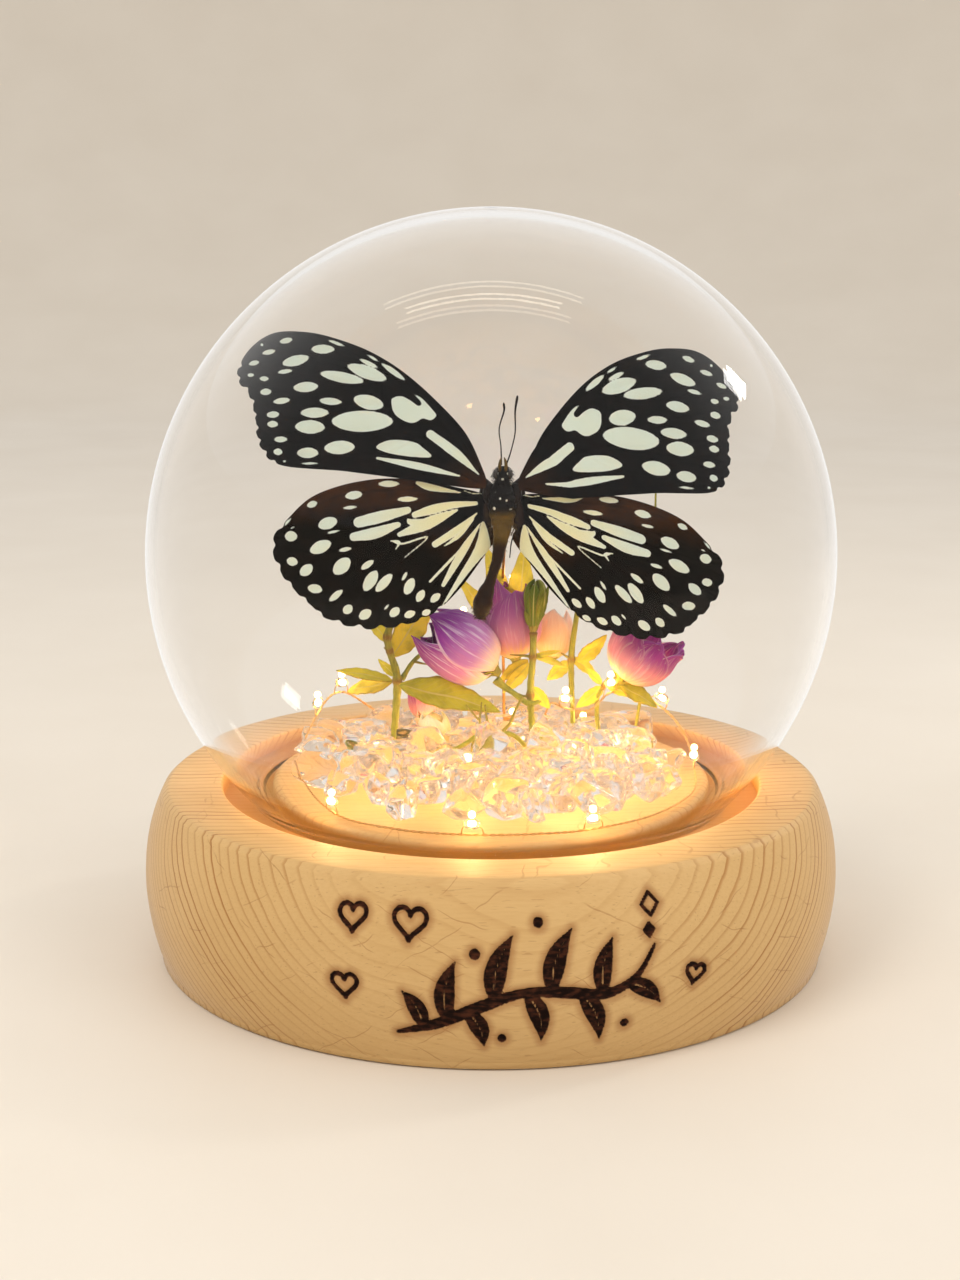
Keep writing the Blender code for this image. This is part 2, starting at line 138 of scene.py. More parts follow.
def to_oval(at, x, y, length, width, turn):
    """How far each point is from a lens-like oval; its long axis rises by turn degrees."""
    a = radians(turn)
    px, py = at[:, 0] - x, at[:, 1] - y
    p = np.abs(np.stack([px * cos(a) + py * sin(a),
                         py * cos(a) - px * sin(a)], axis=1))
    half = np.array([length / 2, width / 2])
    level = ((p / half) ** OVAL_POWER).sum(axis=1) ** (1 / OVAL_POWER)
    return (level - 1) * half.min()


def to_shape(at, outline):
    """How far each point is from a closed outline; under 0 inside."""
    shape = np.array(outline, float)
    after = np.roll(shape, -1, axis=0)
    inside = np.zeros(len(at), bool)
    best = np.full(len(at), FAR_OFF)
    for a, b in zip(shape, after):
        step = b - a
        t = np.clip(((at - a) @ step) / max(step @ step, TINY), 0, 1)
        best = np.minimum(best, norm(at - a - t[:, None] * step, axis=1))
        crosses = (a[1] > at[:, 1]) != (b[1] > at[:, 1])
        slope = np.where(crosses, (at[:, 1] - a[1]) / (step[1] if step[1] else TINY), 0)
        inside ^= crosses & (at[:, 0] < a[0] + slope * step[0])
    return np.where(inside, -best, best)


def ease(value, low, high):
    """0 below low, 1 above high and a soft step between."""
    t = np.clip((value - low) / (high - low), 0, 1)
    return t * t * (3 - 2 * t)


# ---------------------------------------------------------------- meshes

class Shape:
    """A mesh being collected: points in mm, faces, each face's paint, each point's values."""

    def __init__(self, *names):
        self.points, self.faces, self.paints = [], [], []
        self.values = {name: [] for name in names}

    def add(self, points, faces, paint=0, **values):
        """Adds points and faces, which count from the first of these points."""
        start = len(self.points)
        self.points += [tuple(map(float, p)) for p in points]
        self.faces += [tuple(int(i) + start for i in face) for face in faces]
        self.paints += [paint] * len(faces)
        for name, kept in self.values.items():
            given = np.asarray(values.get(name, 0.0), float)
            kept += list(np.broadcast_to(given.reshape(-1), len(points)))

    def sheet(self, rows, paint=0, closed=False, caps=False, **values):
        """Quads over rows of points; closed joins each row's last point to its first."""
        rows = np.asarray(rows, float)
        count, width = rows.shape[:2]
        grid = np.arange(count * width).reshape(count, width)
        after = np.roll(grid, -1, axis=1)
        last = width if closed else width - 1
        faces = [(grid[i, j], after[i, j], after[i + 1, j], grid[i + 1, j])
                 for i in range(count - 1) for j in range(last)]
        if caps:
            faces += [tuple(grid[0, ::-1]), tuple(grid[-1])]
        self.add(rows.reshape(-1, 3), faces, paint, **values)

    def tube(self, line, sides=8, paint=0, **values):
        """A round bar along points of (x, y, z, radius), closed at both ends."""
        line = np.asarray(line, float)
        steps = np.gradient(line[:, :3], axis=0)
        steps /= norm(steps, axis=1)[:, None] + 1e-12
        side = np.cross(steps[0], (0.3, 0.9, 0.2))
        rows = []
        for point, step in zip(line, steps):
            side = side - step * (side @ step)
            side /= norm(side)
            up = np.cross(step, side)
            turn = circle(sides)[:, None]
            rows.append(point[:3] + point[3] * (np.cos(turn) * side + np.sin(turn) * up))
        spread = {k: np.repeat(np.asarray(v, float), sides) if np.ndim(v) else v
                  for k, v in values.items()}
        self.sheet(rows, paint, closed=True, caps=True, **spread)


def in_scene(name, data):
    """A new object of the scene that holds this mesh, light or camera."""
    made = bpy.data.objects.new(name, data)
    bpy.context.scene.collection.objects.link(made)
    return made


def as_mesh(name, shape, paints):
    """Makes the collected points, now in metres, one object of the scene."""
    mesh = bpy.data.meshes.new(name)
    mesh.from_pydata([tuple(v * MM for v in p) for p in shape.points], [], shape.faces)
    mesh.polygons.foreach_set("material_index", shape.paints)
    mesh.polygons.foreach_set("use_smooth", [True] * len(shape.faces))
    for key, values in shape.values.items():
        mesh.attributes.new(key, "FLOAT", "POINT").data.foreach_set("value", values)
    for paint in paints:
        mesh.materials.append(paint)
    return in_scene(name, mesh)


def piece(name, shape, paints, replaces):
    """A piece that rides on the part and stands in for the CAD nodes named by replaces."""
    thing = as_mesh(name, shape, paints)
    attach(thing, "root")
    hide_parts(*replaces)
    return thing


def thicken(thing, thick):
    """Gives a sheet of wing, petal or leaf its thickness."""
    skin = thing.modifiers.new("thickness", "SOLIDIFY")
    skin.thickness = thick * MM
    skin.offset = 0


# ---------------------------------------------------------------- materials

def srgb(r, g, b):
    """A colour given in 0-255 screen values, as Blender's linear one."""
    return tuple((c / 255) ** 2.2 for c in (r, g, b)) + (1.0,)


class Nodes:
    """A node tree whose nodes are made by short calls. Sockets take numbers or sockets."""

    def __init__(self, owner):
        """The tree of a material or a world."""
        owner.use_nodes = True
        self.nodes = owner.node_tree.nodes
        self.links = owner.node_tree.links

    def put(self, socket, value):
        """Links the value if it is a socket, and sets it if it is a number or colour."""
        if isinstance(value, bpy.types.NodeSocket):
            self.links.new(value, socket)
        else:
            socket.default_value = value

    def node(self, kind, inputs=(), **settings):
        """A new node with these settings, its inputs given by number or name."""
        made = self.nodes.new(kind)
        for key, value in settings.items():
            setattr(made, key, value)
        for key, value in dict(inputs).items():
            self.put(made.inputs[key], value)
        return made

    def math(self, operation, *values, clamp=False):
        return self.node("ShaderNodeMath", enumerate(values), operation=operation,
                         use_clamp=clamp).outputs[0]

    def times(self, a, b):
        return self.math("MULTIPLY", a, b)

    def ramp(self, value, size, start):
        """The value times size, plus start."""
        return self.math("MULTIPLY_ADD", value, size, start)

    def step(self, value, low, high, start=0.0, end=1.0):
        """A soft step from start to end as the value goes from low to high."""
        return self.node("ShaderNodeMapRange", {0: value, 1: low, 2: high, 3: start, 4: end},
                         interpolation_type="SMOOTHSTEP").outputs[0]

    def mix(self, factor, a, b):
        """The colour a where the factor is 0 and b where it is 1."""
        return self.node("ShaderNodeMix", {0: factor, 6: a, 7: b},
                         data_type="RGBA").outputs[2]

    def layers(self, colour, *layers):
        """The colour with others laid over it, each by its share, in 0-255 screen values."""
        for share, over in layers:
            colour = self.mix(share, colour, srgb(*over))
        return colour

    def xyz(self, vector):
        return self.node("ShaderNodeSeparateXYZ", {0: vector}).outputs

    def vector(self, *values):
        return self.node("ShaderNodeCombineXYZ", enumerate(values)).outputs[0]


class Paint(Nodes):
    """A material built round its main shader."""

    def __init__(self, name, **values):
        self.material = bpy.data.materials.new(name)
        super().__init__(self.material)
        self.shader = self.nodes["Principled BSDF"]
        self.shade(**values)

    def shade(self, **values):
        """Sets the main shader's sockets; base_color stands for Base Color."""
        for key, value in values.items():
            name = key.replace("_", " ").title().replace("Ior", "IOR")
            self.put(self.shader.inputs[name], value)

    def surface(self, factor, other):
        """Mixes another shader over the main one, by this share of it."""
        both = self.node("ShaderNodeMixShader", {0: factor, 1: self.shader.outputs[0],
                                                 2: other.outputs[0]})
        self.links.new(both.outputs[0], self.nodes["Material Output"].inputs[0])

    def value(self, name):
        """What the mesh says at each point."""
        return self.node("ShaderNodeAttribute", attribute_name=name).outputs["Fac"]

    def values(self, *names):
        return [self.value(name) for name in names]

    def place(self, scale=(1, 1, 1)):
        """Where a point is on its object, in mm, then scaled."""
        at = self.node("ShaderNodeTexCoord").outputs["Object"]
        return self.node("ShaderNodeMapping", {0: at, 3: tuple(s / MM for s in scale)}).outputs[0]

    def noise(self, at, size=1.0, detail=2.0, rough=0.5):
        """Soft noise with features about this big, in the units of at."""
        inputs = {"Vector": at, "Scale": 1 / size, "Detail": detail, "Roughness": rough}
        return self.node("ShaderNodeTexNoise", inputs).outputs["Fac"]

    def bump(self, height, depth, strength):
        """Gives the surface a relief of depth mm where height goes from 0 to 1."""
        return self.node("ShaderNodeBump", {"Height": height, "Distance": depth * MM,
                                            "Strength": strength}).outputs[0]

    def thin(self, colour, share):
        """Lets a share of the light through a thin sheet, in this colour."""
        self.surface(share, self.node("ShaderNodeBsdfTranslucent", {"Color": colour}))

    def lets_lamps_through(self, colour):
        """Clear glass: lamps shine through it instead of being blocked."""
        path = self.node("ShaderNodeLightPath")
        self.surface(path.outputs["Is Shadow Ray"],
                     self.node("ShaderNodeBsdfTransparent", {"Color": colour}))


RING_GAP = 1.45           # between growth rings
PITH = (175.0, -160.0)    # the tree's middle, y and z, far outside the base


def growth(paint):
    """How far a point is from the tree's middle, with the wander that living wood has."""
    x, y, z = paint.xyz(paint.place())
    flat = paint.vector(*(paint.math("SUBTRACT", at, pith) for at, pith in zip((y, z), PITH)))
    far = paint.node("ShaderNodeVectorMath", {0: flat}, operation="LENGTH").outputs["Value"]
    wander = paint.noise(paint.place((1, 0.5, 0.5)), 34, 2)
    wobble = paint.noise(paint.place((0.25, 1, 1)), 5, 2)
    for share, size in ((wander, 7.0), (wobble, 0.55), (x, 0.03)):
        far = paint.ramp(share, size, far)
    return far


def checks(paint, x, z):
    """Short checks across the front, leaning both ways."""
    threads = []
    for lean, gap in ((0.55, 6.2), (-0.7, 7.4)):
        run = paint.ramp(x, lean, z)
        run = paint.ramp(paint.noise(paint.place(), 9, 2), 5.0, run)
        thread = paint.step(paint.math("PINGPONG", run, gap / 2), 0.16, 0.03)
        patch = paint.step(paint.noise(paint.place((1, 1, 1 + lean * 0.1)), 7, 2), 0.5, 0.62)
        threads.append(paint.times(thread, patch))
    return paint.math("MAXIMUM", *threads)


def burned(paint, grain):
    """The grain with the ornament scorched and charred into it, and where it is charred."""
    burn = paint.ramp(paint.noise(paint.place(), 0.7, 3), 0.22, paint.value("burn"))
    burn = paint.math("SUBTRACT", burn, 0.11)
    charred = paint.step(burn, 0.12, -0.06)
    ember = paint.step(paint.noise(paint.place((0.35, 1, 1)), 0.6, 3), 0.4, 0.75)
    char = paint.mix(ember, srgb(38, 20, 12), srgb(84, 44, 24))
    grain = paint.mix(paint.step(burn, 1.5, 0.0, 0.0, 0.55), grain, srgb(146, 88, 42))
    return paint.mix(charred, grain, char), charred


def wood_paint():
    """Pine cut across the growth rings, oiled, with the ornament's burn read from the mesh."""
    paint = Paint("pine", specular_ior_level=0.35)
    rings = paint.math("DIVIDE", growth(paint), RING_GAP)
    ring = paint.math("FRACT", rings)
    year = paint.node("ShaderNodeTexWhiteNoise", {"W": paint.math("FLOOR", rings)},
                      noise_dimensions="1D").outputs["Value"]
    line = paint.times(paint.step(ring, 0.66, 0.93), paint.step(ring, 1.0, 0.95))
    late = paint.times(line, paint.step(year, 0.0, 1.0, 0.35, 0.95))
    x, _, z = paint.xyz(paint.place())
    # The rings meet the front's middle nearly flat, where they blur away
    late = paint.times(late, paint.step(paint.math("ABSOLUTE", x), 20, 46, 0.16, 1.0))
    broad = paint.noise(paint.place((0.4, 1, 1)), 22, 3)
    fibre = paint.noise(paint.place((0.05, 1, 1)), 0.35, 3, 0.7)
    fleck = paint.step(paint.noise(paint.place((0.16, 1.6, 1.6)), 0.5, 1), 0.66, 0.74)
    check = checks(paint, x, z)
    grain = paint.layers(paint.mix(broad, srgb(201, 162, 105), srgb(219, 183, 128)),
                         (paint.times(ring, 0.05), (188, 138, 78)),
                         (late, (162, 106, 50)),
                         (paint.step(fibre, 0.35, 0.75, 0.0, 0.2), (186, 138, 80)),
                         (paint.times(fleck, 0.3), (150, 104, 60)),
                         (paint.times(check, 0.38), (150, 96, 48)),
                         # Painted shade, tinted amber like the lamps' glow, darkens the wood down
                         # in the groove under the glass
                         (paint.times(paint.value("groove"), 0.85), (166, 108, 34)))
    grain, charred = burned(paint, grain)
    relief = paint.ramp(late, -0.4, paint.times(fibre, 0.6))
    relief = paint.ramp(check, -0.6, relief)
    rough = paint.math("MAXIMUM", paint.ramp(fibre, 0.2, 0.4), paint.times(charred, 0.75))
    paint.shade(base_color=grain, roughness=rough, normal=paint.bump(relief, 0.05, 0.6))
    return paint.material


def glass_paint():
    """Clear blown glass with the faintest waves."""
    paint = Paint("glass", base_color=(1, 1, 1, 1), transmission_weight=1.0, ior=1.33,
                  roughness=0.0)
    wave = paint.noise(paint.place(), 14, 1)
    paint.shade(normal=paint.bump(wave, 0.02, 0.35))
    paint.lets_lamps_through((0.97, 0.97, 0.96, 1))
    return paint.material


def crystal_paint():
    """Clear cast chips, rounded by tumbling, with fine scratches."""
    paint = Paint("crystal", base_color=(1, 1, 1, 1), transmission_weight=1.0, ior=1.42)
    at = paint.place()
    scuff = paint.step(paint.noise(at, 1.3, 3, 0.6), 0.55, 0.75, 0.0, 0.10)
    dents = paint.noise(at, 2.2, 2)
    paint.shade(roughness=scuff, normal=paint.bump(dents, 0.08, 0.25))
    return paint.material


def scale_paint():
    """A wing's scales: pale spots and dark veins, and near the body painted glow of light through
    the wing: a warm brown ground and yellower spots.
    """
    paint = Paint("wing_scales", specular_ior_level=0.04)
    at = paint.place()
    ragged = paint.math("SUBTRACT", paint.noise(at, 0.35, 2), 0.5)
    edge = paint.ramp(ragged, 0.16, paint.value("spot"))
    pale = paint.step(edge, 0.05, -0.05)
    inner, warm = paint.values("inner", "warm")
    rows = paint.noise(at, 0.16, 2, 0.7)
    soot = paint.noise(at, 2.4, 3)
    # Spots turn yellower near the body: painted glow of light shining through the wing
    spot = paint.mix(inner, srgb(226, 240, 232), srgb(238, 238, 196))
    spot = paint.layers(spot, (paint.step(rows, 0.3, 0.8, 0.0, 0.25), (196, 202, 178)),
                        (paint.step(edge, -0.34, -0.02, 0.0, 0.3), (244, 252, 248)))
    ground = paint.mix(paint.step(soot, 0.4, 0.7), srgb(5, 4, 4), srgb(20, 12, 9))
    # The warm brown near the body is painted glow of light shining through the wing
    ground = paint.layers(ground, (paint.times(warm, soot), (84, 52, 26)),
                          (paint.step(paint.value("vein"), 0.22, 0.05, 0.0, 0.5), (12, 9, 8)))
    colour = paint.mix(pale, ground, spot)
    rough = paint.ramp(rows, 0.25, 0.5)
    paint.shade(base_color=colour, roughness=rough, normal=paint.bump(rows, 0.03, 0.7))
    paint.thin(colour, 0.22)
    return paint.material


def chitin_paint():
    """The body: dark horny plates, browner towards the tail, with painted amber glow on the upper
    abdomen where light shines through it and lights its side.
    """
    paint = Paint("body_chitin", specular_ior_level=0.14)
    tail, rear = paint.values("tail", "rear")
    at = paint.place()
    mottle = paint.noise(at, 0.9, 3)
    base = paint.mix(mottle, srgb(6, 5, 5), srgb(22, 15, 11))
    brown = paint.mix(mottle, srgb(14, 8, 6), srgb(46, 25, 13))
    # Painted glow: amber where light shines through the upper abdomen and lights its side
    amber = paint.mix(mottle, srgb(66, 54, 18), srgb(112, 86, 34))
    colour = paint.mix(tail, base, brown)
    colour = paint.mix(rear, colour, amber)
    # Pale dots: the body's own spots and painted glints
    dots = paint.step(paint.value("dot"), 0.08, -0.04)
    colour = paint.mix(dots, colour, srgb(220, 220, 206))
    fine = paint.noise(at, 0.14, 2)
    paint.shade(base_color=colour, roughness=paint.ramp(fine, 0.3, 0.22),
                normal=paint.bump(fine, 0.04, 0.8))
    return paint.material


def hair_paint():
    """Hairs: black, with golden brown tips in the rear band: painted glow, as on the abdomen."""
    paint = Paint("body_hair", specular_ior_level=0.05)
    # Gold only at the tips in the rear band: painted glow
    along = paint.times(paint.value("along"), paint.value("rear"))
    gold = paint.mix(paint.noise(paint.place(), 1.5, 1), srgb(70, 46, 24), srgb(168, 140, 78))
    colour = paint.mix(along, srgb(8, 6, 5), gold)
    paint.shade(base_color=colour, roughness=paint.ramp(paint.value("along"), 0.2, 0.32))
    return paint.material


def eye_paint():
    """Compound eyes: glossy, nearly black, with fine facets."""
    paint = Paint("eye", specular_ior_level=0.7, coat_weight=0.6, coat_roughness=0.08)
    cells = paint.node("ShaderNodeTexVoronoi", {"Vector": paint.place(), "Scale": 7.0})
    dull = paint.noise(paint.place(), 0.6, 2)
    paint.shade(base_color=paint.mix(dull, srgb(10, 8, 8), srgb(46, 30, 20)),
                roughness=paint.ramp(dull, 0.15, 0.12),
                normal=paint.bump(cells.outputs["Distance"], 0.03, 0.6))
    return paint.material


def stem_paint():
    """Green-yellow stalks with long fibres, browner at their joints."""
    paint = Paint("stem", specular_ior_level=0.35)
    at = paint.place((1, 1, 0.18))
    fibre = paint.noise(at, 0.35, 3, 0.6)
    patch = paint.noise(paint.place(), 4.5, 2)
    green = paint.mix(patch, srgb(122, 130, 46), srgb(168, 164, 72))
    colour = paint.layers(green, (paint.step(fibre, 0.4, 0.7, 0.0, 0.5), (86, 84, 34)),
                          (paint.value("joint"), (132, 98, 48)))
    paint.shade(base_color=colour, roughness=paint.ramp(fibre, 0.2, 0.45),
                normal=paint.bump(fibre, 0.08, 0.7))
    paint.thin(colour, 0.12)
    return paint.material


def leaf_paint(name="leaf", deep=srgb(184, 186, 60)):
    """Dried leaves: olive to yellow, with a pale midrib and side veins from the mesh."""
    paint = Paint(name, specular_ior_level=0.3)
    along, across, tone = paint.values("along", "across", "tone")
    side = paint.math("ABSOLUTE", across)
    # Side veins leave the midrib at a slant: lines of along minus a share of side
    slant = paint.ramp(side, -0.22, along)
    comb = paint.math("PINGPONG", slant, 0.045)
    vein = paint.step(comb, 0.008, 0.0)
    mid = paint.step(side, 0.09, 0.03)
    blotch = paint.noise(paint.place(), 2.6, 3)
    green = paint.mix(tone, deep, srgb(236, 220, 88))
    colour = paint.layers(green, (paint.step(blotch, 0.4, 0.7, 0.0, 0.4), (122, 128, 44)),
                          (paint.step(side, 0.86, 1.0, 0.0, 0.5), (150, 112, 52)),
                          (paint.times(vein, 0.45), (206, 198, 118)), (mid, (212, 204, 128)))
    relief = paint.math("ADD", vein, mid)
    paint.shade(base_color=colour, roughness=paint.ramp(blotch, 0.25, 0.42),
                normal=paint.bump(relief, 0.08, 0.6))
    paint.thin(colour, 0.38)
    return paint.material


def petal_paint(name, tip, middle, root, edge, through=0.35):
    """A petal: colour runs from its root to its tip, with fine lengthwise streaks."""
    paint = Paint(name, specular_ior_level=0.35, sheen_weight=0.25, sheen_roughness=0.35)
    along, across, tone = paint.values("along", "across", "tone")
    flat = paint.vector(paint.times(across, 8.0), paint.times(along, 0.8),
                        paint.times(tone, 9.0))
    streak = paint.noise(flat, 0.42, 3, 0.65)
    ragged = paint.ramp(streak, 0.34, along)
    colour = paint.mix(paint.step(ragged, 0.2, 0.52), root, middle)
    colour = paint.mix(paint.step(ragged, 0.5, 0.98), colour, tip)
    pale = paint.times(paint.step(streak, 0.52, 0.66), 0.62)
    colour = paint.mix(pale, colour, edge)
    rim = paint.step(paint.math("ABSOLUTE", across), 0.90, 1.0, 0.0, 0.55)
    colour = paint.mix(rim, colour, edge)
    paint.shade(base_color=colour, roughness=paint.ramp(streak, 0.25, 0.3),
                normal=paint.bump(streak, 0.07, 0.6))
    paint.thin(colour, through)
    return paint.material


def wire_paint(name, bright, dull, roughness):
    """Drawn wire, a little tarnished."""
    paint = Paint(name, metallic=1.0)
    tarnish = paint.noise(paint.place(), 1.2, 3)
    drawn = paint.noise(paint.place((1, 1, 0.3)), 0.12, 2)
    paint.shade(base_color=paint.mix(tarnish, bright, dull),
                roughness=paint.ramp(drawn, 0.25, roughness),
                normal=paint.bump(drawn, 0.02, 0.5))
    return paint.material


def lamp_paint():
    """The lit chip inside a drop of resin."""
    paint = Paint("lamp_core", roughness=0.5, emission_color=(1.0, 0.72, 0.36, 1),
                  emission_strength=LAMP_GLOW)
    paint.shade(base_color=paint.mix(paint.noise(paint.place(), 0.3, 2), srgb(255, 214, 130),
                                     srgb(255, 190, 90)))
    return paint.material


def resin_paint():
    """The drop of clear resin over each lamp; its warm tint is the lamp's glow, painted into the
    resin.
    """
    paint = Paint("lamp_resin", base_color=(1.0, 0.93, 0.78, 1), transmission_weight=1.0,
                  ior=1.45)
    grain = paint.noise(paint.place(), 0.5, 2)
    paint.shade(roughness=paint.ramp(grain, 0.12, 0.03),
                normal=paint.bump(grain, 0.05, 0.5))
    paint.lets_lamps_through((1.0, 0.93, 0.8, 1))
    return paint.material


# ---------------------------------------------------------------- base and its burned ornament

FRONT = 38.0              # half the width of the finely meshed front, along the side
FINE, COARSE = 0.34, 1.6  # steps round the side
BURN_DEPTH = 0.45
NO_BURN = 5.0             # as far from the ornament as is worth telling apart
HEART_POINTS = 28


def side_radius(z):
    """Radius of the base's turned side at this height: a full belly over a tucked-in foot."""
    if z >= BULGE_Z:
        t = (BASE_H - z) / (BASE_H - BULGE_Z)
        return RIM_R + (BULGE_R - RIM_R) * (1 - (1 - t) ** 2.39)
    t = max(z, 0) / BULGE_Z
    return FOOT_R + (BULGE_R - FOOT_R) * (1 - (1 - t) ** 1.5) ** (1 / 1.5)


def heart(x, y, width, turn):
    """A heart's outline about its middle, leaning by turn degrees."""
    a = radians(turn)
    t = 2 * pi * np.arange(HEART_POINTS) / HEART_POINTS
    # The well-known heart curve, 32 units wide
    px = 16 * np.sin(t) ** 3 / 32 * width
    py = (13 * np.cos(t) - 5 * np.cos(2 * t) - 2 * np.cos(3 * t) - np.cos(4 * t)
          + 2.5) / 32 * width
    return np.stack([x + px * cos(a) - py * sin(a),
                     y + px * sin(a) + py * cos(a)], axis=1)


def diamond(x, y, width, height):
    """The corners of a diamond about its middle."""
    return [(x - width / 2, y), (x, y + height / 2), (x + width / 2, y), (x, y - height / 2)]


# The sprig: its stem's brush stroke, and each leaf's foot, tip and width. Along the side and up.
SPRIG = [(-14.5, 6.4, 0.30), (-8.5, 8.2, 0.85), (-1.5, 11.4, 1.0), (5.0, 13.6, 0.75),
         (11.5, 13.4, 0.95), (18.0, 12.6, 0.85), (23.0, 14.8, 0.55), (26.2, 19.4, 0.25)]
SPRIG_LEAVES = [(-10.4, 7.7, -13.6, 13.4, 2.9), (-6.6, 8.9, -5.4, 18.6, 3.2),
                (-3.4, 10.4, -1.0, 4.6, 2.9), (0.6, 12.4, 3.4, 22.6, 3.4),
                (5.6, 13.5, 8.0, 5.4, 3.1), (9.4, 13.7, 12.6, 23.2, 3.4),
                (14.0, 13.0, 17.4, 4.8, 3.1), (17.6, 12.7, 19.2, 21.4, 3.0),
                (21.6, 13.9, 27.4, 9.8, 2.8)]
BERRIES = [(-2.4, 19.8, 0.85), (7.4, 24.4, 0.8), (1.8, 6.0, 0.7), (21.4, 7.2, 0.7)]
# Hearts: middle, width and lean in degrees
HEARTS = [(-22.0, 24.0, 4.6, 3), (-12.6, 23.8, 5.3, -2), (-23.0, 13.2, 4.3, 2),
          (33.6, 13.4, 3.5, -14)]


def leaf_mark(at, x0, y0, x1, y1, width):
    """A leaf drawn with a brush: a swelling stroke, bent a little, with its midrib left bare."""
    foot, tip = np.array((x0, y0)), np.array((x1, y1))
    run = tip - foot
    bow = np.array((-run[1], run[0])) * 0.10 * (1 if x1 > x0 else -1)
    line, rib = [], []
    for t in np.linspace(0, 1, 13):
        middle = foot + run * t + bow * sin(pi * t)
        half = width / 2 * sin(pi * min(1, 0.06 + 0.94 * t) ** 0.85)
        line.append((*middle, max(half, 0.12)))
        rib.append((*middle, 0.17 * (1 - t)))
    return np.maximum(to_stroke(at, line), -to_stroke(at, rib[2:-2]))


def ornament(at):
    """Distance to the burned marks, under 0 inside them, for points along the side and up."""
    marks = [to_stroke(at, smooth(SPRIG, 5))]
    marks += [leaf_mark(at, *leaf) for leaf in SPRIG_LEAVES]
    marks += [norm(at - (x, y), axis=1) - r for x, y, r in BERRIES]
    marks += [np.abs(to_shape(at, heart(*h))) - 0.36 for h in HEARTS]
    marks.append(np.abs(to_shape(at, diamond(25.9, 25.6, 2.9, 3.4))) - 0.28)
    marks.append(to_shape(at, diamond(25.4, 21.8, 2.4, 2.8)))
    return np.min(marks, axis=0)


def base_profile():
    """(radius, height) from the middle of the stage over the groove and the rim to the foot."""
    top, floor = BASE_H, BASE_H - GROOVE_DEPTH
    line = [(r, top) for r in np.linspace(0.01, STAGE_R - STAGE_FILLET, 14)]
    line += [(STAGE_R - STAGE_FILLET * (1 - sin(a)), top - STAGE_FILLET * (1 - cos(a)))
             for a in np.linspace(0.2, pi / 2, 7)]
    line += [(STAGE_R, floor + 0.25), (STAGE_R + 0.25, floor), (43.5, floor),
             (GROOVE_R - 0.25, floor), (GROOVE_R, floor + 0.25), (GROOVE_R, top - 0.4),
             (GROOVE_R + 0.15, top - 0.1), (GROOVE_R + 0.5, top), (51.0, top), (54.5, top)]
    line += [(RIM_R - 0.9, top), (RIM_R - 0.35, top - 0.1), (RIM_R - 0.05, top - 0.4)]
    line += [(side_radius(z), z) for z in np.arange(BASE_H - 0.8, 0.9, -FINE)]
    return line + [(FOOT_R + 0.9, 0.35), (FOOT_R + 0.3, 0.05), (FOOT_R - 0.4, 0.0), (40.0, 0.0),
                   (0.01, 0.0)]


def base():
    """The turned base: finely meshed over its front, where the ornament is sunk in."""
    profile = np.array(base_profile())
    front = np.arange(-FRONT, FRONT, FINE) / BULGE_R
    around = 2 * pi - 2 * FRONT / BULGE_R
    back = FRONT / BULGE_R + np.linspace(0, around, round(around * BULGE_R / COARSE))[:-1]
    turn = np.concatenate([front, back])
    radius, height = (np.repeat(profile[:, k:k + 1], len(turn), axis=1) for k in (0, 1))
    where = np.repeat(turn[None, :], len(profile), axis=0)
    burn = np.full(radius.shape, NO_BURN)
    marked = (radius > FOOT_R) & (np.abs(where) < FRONT / BULGE_R)
    burn[marked] = ornament(np.stack([where[marked] * BULGE_R, height[marked]], axis=1))
    radius = radius - BURN_DEPTH * ease(-burn, -0.12, 0.22)
    rows = np.stack([radius * np.sin(where), -radius * np.cos(where), height], axis=2)
    # Where shade is painted into the groove's wood, full from 1.2 mm below the top
    groove = ease(BASE_H - height, 0.15, 1.2) * (radius < GROOVE_R + 0.1)
    shape = Shape("burn", "groove")
    shape.sheet(rows, closed=True, burn=np.minimum(burn, NO_BURN), groove=groove)
    piece("turned_base", shape, [wood_paint()], ["wood_base"])


def ball_arc(radius, foot_z):
    """(radius, height) from the top of the ball down to foot_z."""
    last = acos((foot_z - GLOBE_Z) / radius)
    return [(radius * sin(last * t), GLOBE_Z + radius * cos(last * t))
            for t in np.linspace(0.0005, 1, 84)]


def globe():
    """The blown globe, open below, its rim rounded by the flame."""
    lip = GLASS / 2
    outer = ball_arc(GLOBE_R, GLOBE_FOOT + lip)
    inner = ball_arc(GLOBE_R - GLASS, GLOBE_FOOT + lip)
    (r0, _), (r1, _) = outer[-1], inner[-1]
    bend = [((r0 + r1) / 2 + (r0 - r1) / 2 * cos(a),
             GLOBE_FOOT + lip - lip * sin(a)) for a in np.linspace(0.4, pi - 0.4, 5)]
    rows = turned(outer + bend + inner[::-1], 144)
    shape = Shape()
    shape.sheet(rows[:, ::-1], closed=True)
    piece("blown_globe", shape, [glass_paint()], ["glass_globe"])


# ---------------------------------------------------------------- butterfly

WING_THICK = 0.16
DIHEDRAL = radians(6)
FORE_Y, HIND_Y = -5.1, -4.2
LEFT_ROOT, RIGHT_ROOT = (-0.5, 83.3), (4.4, 83.3)     # x, z
WING_GRID = 0.27

